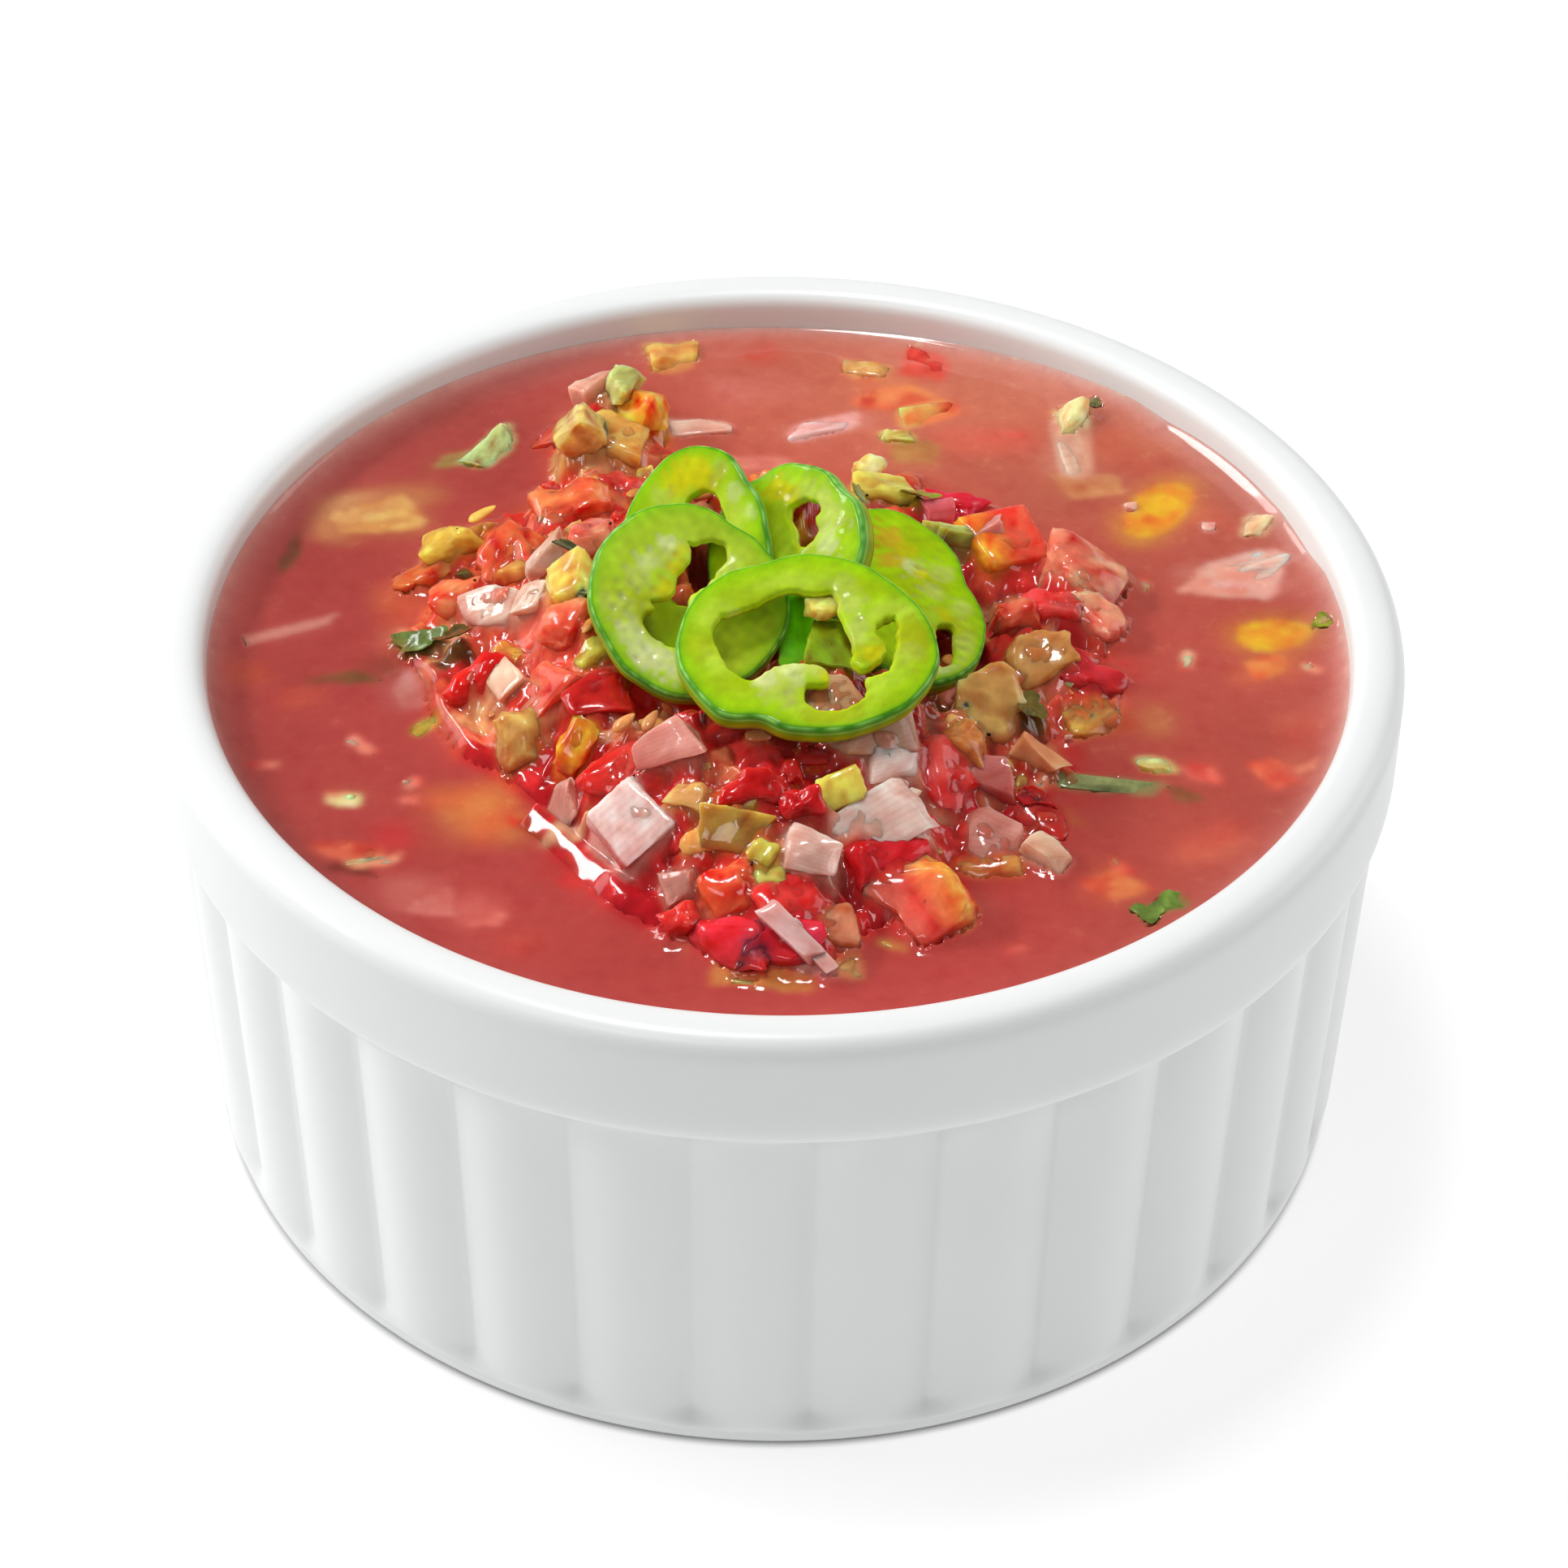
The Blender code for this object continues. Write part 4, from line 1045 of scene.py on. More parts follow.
def cast(batches, lo, hi, cell, extra=()):
    """Heights and colours of the topmost points of the pieces, on a raster: looks straight down at them."""
    vs, fs, cs, base = [], [], [], 0
    for v, f, c in [(b.arrays()[0], b.f, b.arrays()[2]) for b in batches if b.n] + list(extra):
        vs.append(v); cs.append(c)
        fs.extend([tuple(i + base for i in t) for t in f])
        base += len(v)
    vs, cs = np.concatenate(vs), np.concatenate(cs)
    tree = BVHTree.FromPolygons([Vector(p) for p in vs.tolist()], fs)
    corner = np.array([t[0] for t in fs])
    nx, ny = int((hi[0] - lo[0]) / cell) + 1, int((hi[1] - lo[1]) / cell) + 1
    top, colour = np.full((ny, nx), -99.0), np.zeros((ny, nx, 3))
    down = Vector((0, 0, -1))
    for j in range(ny):
        y = lo[1] + j * cell
        for i in range(nx):
            x = lo[0] + i * cell
            if x * x + y * y > 41.6 ** 2:
                continue
            hit = tree.ray_cast(Vector((x, y, 70.0)), down, 60.0)
            if hit[0] is not None:
                top[j, i] = hit[0].z
                colour[j, i] = cs[corner[hit[2]]]
    return top, colour


def make_specks():
    """Ground pepper: dark grains that lie on the pieces."""
    rs = np.random.RandomState(31)
    top, _ = cast(BATCHES, (-28.0, -33.0), (28.0, 36.0), 0.5)
    for i in range(60):
        x, y = rs.uniform(-26, 26), rs.uniform(-31, 32)
        if float(heap_share(x, y)) > 0.9 or float(rest_height(x, y, margin=0.5)) < 900:
            continue
        z = top[int((y + 33.0) / 0.5), int((x + 28.0) / 0.5)]
        if z < LEVEL + 0.5:
            continue
        L = rs.uniform(0.16, 0.34)
        p, f, l = chunk((L, L * 0.8, L * 0.7), rs, n=2, warp=0.2, cuts=0)
        SPECK.add(p + np.array([x, y, z]), f, (0.02, 0.012, 0.008), l)


def blur(a, sigma):
    """Gaussian blur of a (H, W) or (H, W, C) field, sigma in cells."""
    r = max(1, int(sigma * 2.6))
    k = np.exp(-0.5 * (np.arange(-r, r + 1) / sigma) ** 2)
    k /= k.sum()
    for axis in (0, 1):
        out = np.zeros_like(a)
        for i, w in enumerate(k):
            out += w * np.roll(a, i - r, axis=axis)
        a = out
    return a


def sample(field, x, y, lo, cell):
    """Reads a raster at points, between its cells."""
    fx, fy = (x - lo[0]) / cell, (y - lo[1]) / cell
    i, j = np.clip(fx.astype(int), 0, field.shape[1] - 2), np.clip(fy.astype(int), 0, field.shape[0] - 2)
    u, v = np.clip(fx - i, 0, 1), np.clip(fy - j, 0, 1)
    if field.ndim == 3:
        u, v = u[:, None], v[:, None]
    return (field[j, i] * (1 - u) + field[j, i + 1] * u) * (1 - v) + (field[j + 1, i] * (1 - u) + field[j + 1, i + 1] * u) * v


BATCHES = (TOMATO, ONION, OLIVE, HERB, SEED)


def scraps(gx, gy, rs):
    """Soft scraps of flesh pressed together: relief and colour for every point of the raster, in the heap's own palette."""
    seeds, tone = [], []
    y, row = -38.0, 0
    while y < 44.0:
        x = -33.0 + (row % 2) * 1.2
        while x < 33.0:
            if rs.uniform() < 0.80:
                seeds.append((x + rs.uniform(-1.1, 1.1), y + rs.uniform(-1.1, 1.1)))
            x += 2.5
        y += 2.1
        row += 1
    for x, y in seeds:
        if y < -13:
            pick = [(0.50, 0.010, 0.016), (0.60, 0.020, 0.024), (0.66, 0.040, 0.036), (0.42, 0.006, 0.012), (0.58, 0.16, 0.07), (0.54, 0.26, 0.15)]
            odds = [0.28, 0.24, 0.16, 0.14, 0.09, 0.09]
        elif x < 2:
            pick = [(0.74, 0.10, 0.045), (0.80, 0.20, 0.075), (0.62, 0.030, 0.025), (0.78, 0.15, 0.09), (0.74, 0.34, 0.15), (0.78, 0.30, 0.03)]
            odds = [0.26, 0.20, 0.20, 0.14, 0.12, 0.08]
        else:
            pick = [(0.60, 0.035, 0.030), (0.68, 0.085, 0.055), (0.50, 0.022, 0.028), (0.56, 0.22, 0.10), (0.66, 0.14, 0.10), (0.46, 0.24, 0.08)]
            odds = [0.26, 0.22, 0.18, 0.14, 0.12, 0.08]
        tone.append(np.array(pick[rs.choice(6, p=odds)]) * rs.uniform(0.85, 1.15) * np.array((1.15, 1.0, 1.0)))
    kd = KDTree(len(seeds))
    for i, (x, y) in enumerate(seeds):
        kd.insert((x, y, 0), i)
    kd.balance()
    flat = np.stack([gx.ravel(), gy.ravel(), np.zeros(gx.size)], 1)
    wx = gx.ravel() + 0.55 * sines(flat, rs, 3.2, 6) + 0.20 * sines(flat, rs, 1.2, 6)
    wy = gy.ravel() + 0.55 * sines(flat, rs, 3.2, 6) + 0.20 * sines(flat, rs, 1.2, 6)
    n = len(seeds)
    which, edge = np.zeros(gx.size, int), np.zeros(gx.size)
    near = np.nonzero((heap_share(gx, gy) < 1.06).ravel())[0]
    for k in near:
        a, b = kd.find_n((wx[k], wy[k], 0), 2)
        which[k], edge[k] = a[1], b[2] - a[2]
    lean, lift, centre, tone = rs.uniform(-0.30, 0.30, (n, 2)), rs.uniform(-0.30, 0.30, n), np.array(seeds), np.array(tone)
    dx, dy = gx.ravel() - centre[which, 0], gy.ravel() - centre[which, 1]
    relief = 0.55 * (1 - np.exp(-(edge / 0.55) ** 1.4)) - 0.40 + lift[which] + lean[which, 0] * dx + lean[which, 1] * dy
    mottle = 1 + 0.22 * sines(flat, rs, 1.6, 6)[:, None] * np.array((0.5, 1.6, 1.4)) + 0.14 * sines(flat, rs, 0.6, 6)[:, None] * np.array((0.5, 1.4, 1.4))
    k = np.exp(-(edge / 0.22) ** 1.2)[:, None] * 0.75
    colour = tone[which] * np.clip(mottle, 0.2, 2.0) * (1 - k) + np.array((0.36, 0.006, 0.010)) * k
    return relief.reshape(gx.shape), np.clip(colour, 0, 1).reshape(gx.shape + (3,))


def make_core():
    """The heap's wet body: pulp and juice that fill the gaps between the pieces and climb their sides a little."""
    lo, hi, cell = (-33.0, -39.0), (33.0, 45.0), 0.17
    top, colour = cast(BATCHES, lo, hi, cell)
    ny, nx = top.shape
    gx, gy = np.meshgrid(lo[0] + cell * np.arange(nx), lo[1] + cell * np.arange(ny))
    flat = np.stack([gx.ravel(), gy.ravel(), np.zeros(gx.size)], 1)
    base = core_height(gx, gy)
    rs = np.random.RandomState(5)
    relief, flesh = scraps(gx, gy, rs)
    base = base + relief * 0.6
    filled = np.where(top > base, np.minimum(top, heap_top(gx, gy) + 0.6), base)
    share = heap_share(gx, gy)
    near = np.clip((1.04 - share) / 0.14, 0, 1)
    filled = np.where(share < 1.04, filled, LEVEL - 3.0)
    level = blur(filled, 0.85 / cell) - 0.04
    level = np.maximum(level, base) * near + np.minimum(level, base) * (1 - near)
    level = level + blur(relief, 0.17 / cell) * 0.85 * near + (0.06 * sines(flat, rs, 1.0, 7)).reshape(gx.shape)
    level = np.minimum(level, rest_height(gx, gy, margin=0.35, gap=0.02))
    level = np.minimum(level, rest_height(gx, gy, margin=1.2, gap=0.25, only="pepper_slice_right"))
    out = top > level + 0.04
    # the juice climbs the pieces that stand out of it
    reach = np.where(out, np.clip((top - level) * 0.55, 0, 0.34), 0.0)
    climb = np.zeros_like(level)
    for sigma, w in ((0.16, 0.5), (0.38, 0.5)):
        climb += w * blur(reach, sigma / cell) * 1.6
    surface = np.where(out, level + np.minimum(climb, 0.30), level + np.minimum(climb, 0.34))
    deg = np.degrees(np.arctan2(gy - HEAP_CY, gx - HEAP_CX))
    lip = np.clip((bump(deg, -122.0, 24.0) + bump(deg, -172.0, 20.0)) * 1.5, 0, 1) * (share < 1.03)
    run = (share - 0.915) * heap_radius(deg)                       # millimetres outwards from the lip's brow
    shelf = LEVEL + 1.20 - (1.02 + 0.40 * bump(deg, -174.0, 24.0)) * 0.5 * (run + np.sqrt(run ** 2 + 0.30 ** 2)) - 0.9 * np.clip(run - 1.6, 0, 9)
    k = lip * np.clip((share - 0.85) / 0.045, 0, 1)
    surface = surface * (1 - k) + shelf * k
    # one straight, smooth slope of the lip, where the film of juice catches the light
    along, out_by, far = lip_place(gx, gy)
    film = lip_film(along, out_by, far)
    calm = np.clip((along + 0.6) / 0.8, 0, 1) * np.clip((far + 0.9 - along) / 0.9, 0, 1) * np.clip((out_by + 0.95) / 0.4, 0, 1) * np.clip((3.4 - out_by) / 0.3, 0, 1)
    surface = surface * (1 - calm) + film * calm
    body = blur(flesh, 0.10 / cell)
    depth = np.maximum(surface - top, 0)
    seen = body
    for reach_mm, sigma, much, juice in ((1.1, 0.42, 0.50, (0.95, 0.30, 0.26)), (0.40, 0.17, 0.85, (1.0, 0.74, 0.66))):      # deeper shows softer and redder
        a = np.where(top > -50, np.exp(-depth / reach_mm), 0.0) * much
        w = blur(a, sigma / cell)[..., None]
        tint = blur(a[..., None] * colour, sigma / cell) / np.maximum(w, 1e-6)
        seen = seen * (1 - w) + tint * np.array(juice) * w
    ring, turn, faces, last = disc(170)
    deg = np.degrees(turn)
    R = heap_radius(deg) * (ring / 170.0) * (1 + 0.13 * bump(deg, -141.5, 6.5) * (ring / 170.0) ** 3)
    X, Y = HEAP_CX + R * np.cos(turn), HEAP_CY + R * np.sin(turn)
    Z = sample(surface, X, Y, lo, cell)
    pts = np.stack([X, Y, Z], 1)
    col = np.clip(sample(seen, X, Y, lo, cell), 0, 1)
    count = 6 * 170
    ang = 360.0 * np.arange(count) / count
    big = heap_radius(ang) * (1 + 0.13 * bump(ang, -141.5, 6.5))
    prev, total = last + np.arange(count), len(pts)
    allv, allc = [pts], [col]
    for z, less in ((LEVEL - 5.0, 0.6), (LEVEL - 8.0, 1.0)):
        rr = big - less
        allv.append(np.stack([HEAP_CX + rr * np.cos(np.radians(ang)), HEAP_CY + rr * np.sin(np.radians(ang)), np.full(count, z)], 1))
        allc.append(np.broadcast_to(np.array(DEEP), (count, 3)))
        cur = total + np.arange(count)
        total += count
        faces += np.stack([prev, cur, np.roll(cur, -1), np.roll(prev, -1)], 1).tolist()
        prev = cur
    allv.append(np.array([[HEAP_CX, HEAP_CY, LEVEL - 8.0]])); allc.append(np.array([DEEP]))
    for i in range(count):
        faces.append((total, int(prev[(i + 1) % count]), int(prev[i])))
    pts, col = np.concatenate(allv), np.concatenate(allc)
    film = np.ones(len(pts))
    film[:len(X)] = 1 - 0.85 * sample(calm, X, Y, lo, cell)
    ob = make_mesh("salsa_heap_pulp", pts, faces, M_PULP, tint=np.c_[col, film])
    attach(ob, "root"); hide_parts("salsa_heap")
    return pts, faces, col


def place_heroes():
    """The pieces that can be told apart in the photograph, by their place in its 1932 pixel frame."""
    # the arm that runs to the back left
    hero(828, 438, "olive", (3.6, 4.2, 2.6), 20, colour=(0.54, 0.30, 0.085), lift=1.6)
    hero(772, 464, "olive", (2.6, 4.6, 2.0), -12, 10, 180, colour=(0.46, 0.58, 0.26), lift=2.2)
    hero(796, 486, "tomato", (3.6, 3.2, 2.4), 30, colour=(0.80, 0.32, 0.03), lift=1.4)
    hero(724, 472, "onion", (2.8, 2.2, 1.8), 50, colour=(0.70, 0.33, 0.25), lift=1.0)
    hero(698, 518, "olive", (4.8, 4.6, 3.6), 12, 8, 180, colour=(0.56, 0.43, 0.17), lift=1.4, run=0.4)
    hero(752, 528, "olive", (4.8, 4.0, 3.0), -10, colour=(0.56, 0.32, 0.09), lift=0.9)
    hero(613, 550, "olive", (6.4, 2.4, 1.5), 58, 6, 240, colour=(0.42, 0.54, 0.28), lift=1.9, cuts=2, warp=0.34, run=0.3)
    hero(697, 598, "tomato", (5.0, 4.6, 3.4), 15, 6, 200, colour=(0.74, 0.16, 0.06), lift=0.9)
    hero(768, 590, "red", (3.8, 2.6, 2.2), 35, colour=(0.66, 0.06, 0.045), lift=0.5)
    hero(728, 650, "tomato", (4.0, 2.8, 2.2), 25, colour=(0.68, 0.15, 0.11), lift=0.6)
    hero(551, 656, "olive", (4.0, 3.8, 2.4), 25, 12, 190, colour=(0.56, 0.38, 0.075), lift=0.9, run=0.4)
    hero(592, 628, "seed", (2.4, 1.5, 0.8), 30, colour=(0.80, 0.50, 0.11), lift=1.0)
    hero(622, 672, "tomato", (5.0, 3.8, 2.4), 40, colour=(0.70, 0.095, 0.035), lift=0.5)
    hero(668, 676, "onion", (3.8, 1.5, 1.5), 40, 8, 180, colour=(0.64, 0.42, 0.36), lift=0.9)
    hero(704, 674, "leaf", (3.0, 1.6), -25, 12, 90, colour=LEAF_DARK, lift=1.3)
    hero(697, 707, "olive", (3.8, 3.8, 3.0), 10, 10, 230, colour=(0.66, 0.49, 0.13), lift=0.9)
    hero(512, 705, "tomato", (4.6, 2.6, 1.8), 20, colour=(0.68, 0.16, 0.045), lift=0.2)
    hero(560, 722, "tomato", (3.2, 2.6, 2.2), 10, colour=(0.74, 0.16, 0.07), lift=0.6)
    hero(608, 742, "onion", (5.2, 3.6, 1.8), -8, 14, 200, colour=(0.68, 0.42, 0.35), lift=0.7)
    hero(655, 735, "onion", (2.8, 2.2, 1.8), 70, 10, 150, colour=(0.66, 0.42, 0.33), lift=0.9)
    hero(690, 770, "tomato", (4.6, 3.4, 2.6), 60, 10, 200, colour=(0.74, 0.15, 0.07), lift=0.8)
    hero(516, 787, "leaf", (4.4, 1.7), -8, 6, 270, colour=LEAF, lift=0.3)
    hero(560, 780, "leaf", (2.8, 1.9), 10, 22, 90, colour=(0.13, 0.075, 0.012), lift=1.0)
    hero(580, 830, "red", (3.8, 3.0, 2.2), 45, colour=(0.62, 0.010, 0.008), lift=0.6)
    hero(620, 838, "onion", (2.4, 2.6, 1.4), 20, 10, 200, colour=(0.66, 0.45, 0.33), lift=0.8)
    hero(662, 850, "tomato", (5.2, 4.4, 3.4), -50, 10, 210, colour=(0.78, 0.14, 0.075), lift=1.1)
    hero(634, 908, "olive", (3.6, 3.4, 2.8), 0, 8, 250, colour=(0.46, 0.27, 0.085), lift=0.6)
    hero(727, 800, "olive", (2.6, 2.2, 1.8), 30, colour=(0.42, 0.36, 0.06), lift=0.7)
    hero(738, 850, "red", (4.2, 3.4, 2.2), 20, colour=(0.50, 0.012, 0.010), lift=0.5)
    hero(702, 920, "tomato", (3.4, 2.4, 2.0), 50, colour=(0.78, 0.27, 0.02), lift=0.5)
    hero(766, 888, "seed", (2.0, 1.3, 0.7), 25, colour=(0.68, 0.30, 0.10), lift=0.9)
    hero(800, 884, "seed", (1.9, 1.2, 0.7), 60, colour=(0.62, 0.28, 0.12), lift=0.9)
    hero(818, 914, "onion", (4.2, 2.6, 1.8), 10, 10, 240, colour=(0.60, 0.26, 0.21), lift=0.7)
    hero(757, 950, "red", (4.8, 3.4, 2.2), 30, colour=(0.62, 0.022, 0.018), lift=0.4)
    hero(682, 982, "onion", (2.6, 3.0, 1.8), 10, colour=(0.62, 0.26, 0.22), lift=0.4)
    # the front
    hero(773, 1008, "onion", (4.4, 4.9, 1.1), 38, colour=(0.80, 0.60, 0.56), lift=0.55, n=12, cuts=0, warp=0.09, up=(-0.12, -0.46, 0.88), free=True)
    hero(842, 975, "olive", (3.0, 2.4, 1.8), -30, colour=(0.60, 0.33, 0.14), lift=0.5)
    hero(900, 985, "olive", (4.6, 2.6, 1.8), 5, 12, 270, colour=(0.38, 0.19, 0.04), lift=0.7)
    hero(905, 1018, "olive", (4.0, 2.8, 1.8), -15, 10, 270, colour=(0.42, 0.25, 0.05), lift=0.5)
    hero(868, 1028, "seed", (3.6, 2.4, 1.4), 10, 14, 270, colour=(0.78, 0.43, 0.13), lift=1.3)
    hero(938, 1050, "olive", (2.4, 1.8, 1.5), 60, colour=(0.48, 0.40, 0.08), lift=0.9)
    hero(946, 1075, "olive", (2.2, 1.6, 1.3), 15, colour=(0.60, 0.44, 0.10), lift=0.9)
    hero(930, 970, "red", (4.0, 2.6, 2.0), 0, colour=(0.62, 0.018, 0.020), lift=0.5)
    hero(1036, 966, "olive", (3.2, 2.5, 2.3), 22, 12, 265, colour=(0.60, 0.46, 0.10), lift=1.5, cuts=0, warp=0.06, edge=0.36, rough=0.05)
    hero(990, 984, "red", (2.8, 2.2, 1.8), 0, colour=(0.46, 0.010, 0.014), lift=0.6)
    hero(1095, 900, "onion", (5.6, 3.2, 1.9), 32, 8, 270, colour=(0.66, 0.36, 0.27), lift=0.9)
    hero(1106, 936, "onion", (4.4, 2.6, 1.8), 28, 16, 265, colour=(0.76, 0.58, 0.53), lift=0.9)
    hero(1085, 1004, "onion", (7.2, 3.2, 2.2), 36, 18, 275, colour=(0.76, 0.56, 0.50), lift=1.3, n=12)
    hero(1000, 1040, "onion", (3.6, 3.4, 2.2), -14, 14, 255, colour=(0.70, 0.42, 0.38), lift=1.2, n=10)
    hero(1090, 1042, "red", (5.4, 3.2, 2.8), 38, 10, 270, colour=(0.60, 0.014, 0.022), lift=0.6)
    hero(1174, 945, "red", (3.8, 4.6, 2.6), 20, 6, 300, colour=(0.66, 0.055, 0.060), lift=0.8)
    hero(1130, 1100, "tomato", (6.2, 6.0, 4.0), 28, 12, 282, colour=(0.76, 0.11, 0.085), lift=1.0, side=(0, 1, (0.80, 0.30, 0.045), 0.15), n=10)
    hero(833, 1088, "onion", (2.2, 2.4, 1.8), 0, 12, 260, colour=(0.56, 0.25, 0.20), lift=0.6)
    hero(896, 1096, "tomato", (4.4, 3.4, 2.6), 8, 14, 265, colour=(0.78, 0.12, 0.045), lift=1.0)
    hero(966, 1098, "tomato", (4.4, 3.6, 2.6), 28, 12, 275, colour=(0.72, 0.035, 0.035), lift=1.0)
    hero(890, 1150, "red", (5.2, 3.4, 2.2), -12, 8, 265, colour=(0.70, 0.022, 0.044), lift=0.1)
    hero(955, 1162, "red", (5.4, 3.2, 2.0), -8, 8, 265, colour=(0.70, 0.020, 0.048), lift=0.1)
    hero(972, 1142, "onion", (4.8, 1.4, 1.2), -44, 6, 270, colour=(0.74, 0.42, 0.38), lift=1.3, cuts=0, warp=0.12)
    hero(1002, 1164, "onion", (4.0, 1.1, 1.0), -47, 6, 270, colour=(0.76, 0.48, 0.42), lift=0.9, cuts=0, warp=0.12)
    hero(1032, 1138, "olive", (3.2, 3.2, 2.2), 10, 6, 280, colour=(0.54, 0.19, 0.12), lift=0.4)
    hero(835, 1125, "tomato", (2.4, 2.0, 1.6), 20, colour=(0.60, 0.02, 0.02), lift=0.3)
    side = SLICES["pepper_slice_left"]                             # a strip of skin along the left slice's right edge
    up = slice_frame(side)[0]
    d = ray(984, 768)
    at = CAM_AT + d * (((np.array(side["at"]) - up * 0.2 - CAM_AT) @ up) / (d @ up))
    put(OLIVE, "chunk", at, (6.8, 2.2, 0.9), 86, 0, 0, (0.13, 0.52, 0.004), np.random.RandomState(4), up=up, stain=False, sink=0.5, lid=False, run=0.3, n=10, cuts=0, warp=0.04, edge=0.5, rough=0.04, fine=0.01)
    # painted shade: a flat dark green scrap standing in for shaded slice flesh seen through the front slice's hole
    hero(1026, 786, "olive", (4.6, 3.4, 1.0), 80, colour=(0.16, 0.23, 0.005), lift=0.4, cuts=0, warp=0.05, edge=0.6, rough=0.06, level=True, stain=False)
    hero(1012, 744, "olive", (2.4, 2.0, 0.9), 20, colour=(0.66, 0.52, 0.13), lift=1.4, level=True, stain=False, run=0.2, lid=False)
    hero(1033, 852, "onion", (4.4, 3.4, 1.6), 10, colour=(0.56, 0.33, 0.17), lift=0.9, level=True)
    # the right
    hero(1068, 566, "olive", (2.2, 1.8, 1.4), 40, colour=(0.58, 0.60, 0.30), lift=1.2)
    hero(1092, 590, "olive", (4.6, 3.4, 2.2), 15, 8, 90, colour=(0.46, 0.42, 0.085), lift=0.9)
    hero(1128, 606, "leaf", (3.6, 2.4), -35, 20, 60, colour=(0.26, 0.28, 0.02), lift=1.2)
    hero(1060, 606, "leaf", (2.8, 1.8), 60, 20, 20, colour=(0.20, 0.40, 0.10), lift=1.2)
    hero(1180, 616, "red", (4.8, 2.6, 2.2), -8, colour=(0.62, 0.022, 0.060), lift=0.7)
    hero(1155, 625, "onion", (2.8, 1.8, 1.5), 20, colour=(0.66, 0.14, 0.17), lift=0.8)
    hero(1172, 648, "olive", (3.6, 1.5, 1.2), 12, 6, 90, colour=(0.34, 0.42, 0.12), lift=1.2)
    hero(1242, 655, "tomato", (6.0, 5.6, 4.6), 24, 4, 280, colour=(0.92, 0.095, 0.055), lift=1.6, side=(0, -1, (0.90, 0.26, 0.02), 0.1), n=10, cuts=0, warp=0.09, edge=0.30, rough=0.05)
    hero(1215, 645, "onion", (3.4, 2.4, 1.2), 24, colour=(0.68, 0.26, 0.22), lift=1.9)
    hero(1345, 690, "tomato", (5.4, 5.0, 3.4), -20, 8, 300, colour=(0.68, 0.20, 0.13), lift=0.8)
    hero(1352, 745, "tomato", (4.4, 4.0, 2.8), -60, 8, 300, colour=(0.68, 0.18, 0.12), lift=0.6)
    hero(1300, 733, "red", (4.2, 3.0, 2.4), 10, colour=(0.74, 0.035, 0.040), lift=0.9)
    hero(1250, 748, "tomato", (4.0, 3.0, 2.2), 20, 10, 250, colour=(0.66, 0.13, 0.075), lift=0.8)
    hero(1290, 800, "olive", (4.8, 4.4, 2.8), 15, 12, 280, colour=(0.50, 0.23, 0.075), lift=1.0)
    hero(1240, 790, "red", (3.4, 3.0, 2.2), 60, colour=(0.52, 0.05, 0.04), lift=0.5)
    hero(1345, 822, "red", (5.0, 3.4, 2.2), -10, colour=(0.52, 0.022, 0.032), lift=0.2)
    hero(1222, 862, "olive", (5.6, 4.8, 3.4), -40, 12, 282, colour=(0.56, 0.33, 0.12), lift=1.0, n=12, rough=0.20)
    hero(1270, 870, "leaf", (3.6, 2.2), 70, 20, 0, colour=(0.14, 0.11, 0.02), lift=0.7)
    hero(1200, 905, "olive", (3.4, 2.6, 2.0), -30, colour=(0.46, 0.18, 0.06), lift=0.7)
    hero(1350, 880, "olive", (4.8, 4.0, 2.2), 10, colour=(0.48, 0.22, 0.07), lift=-0.7)
    hero(1284, 927, "onion", (3.4, 1.4, 1.2), -34, colour=(0.68, 0.27, 0.13), lift=0.5, cuts=0)
    hero(1222, 955, "onion", (3.0, 2.8, 1.6), 0, colour=(0.50, 0.14, 0.13), lift=0.1)
    hero(1228, 1030, "onion", (5.0, 3.8, 2.2), -12, 6, 290, colour=(0.62, 0.25, 0.20), lift=0.5)
    hero(1292, 1044, "onion", (3.4, 2.2, 1.4), -28, 6, 270, colour=(0.76, 0.50, 0.36), lift=0.5)
    hero(1215, 1070, "olive", (4.2, 2.6, 2.0), 0, colour=(0.58, 0.20, 0.07), lift=-0.4)


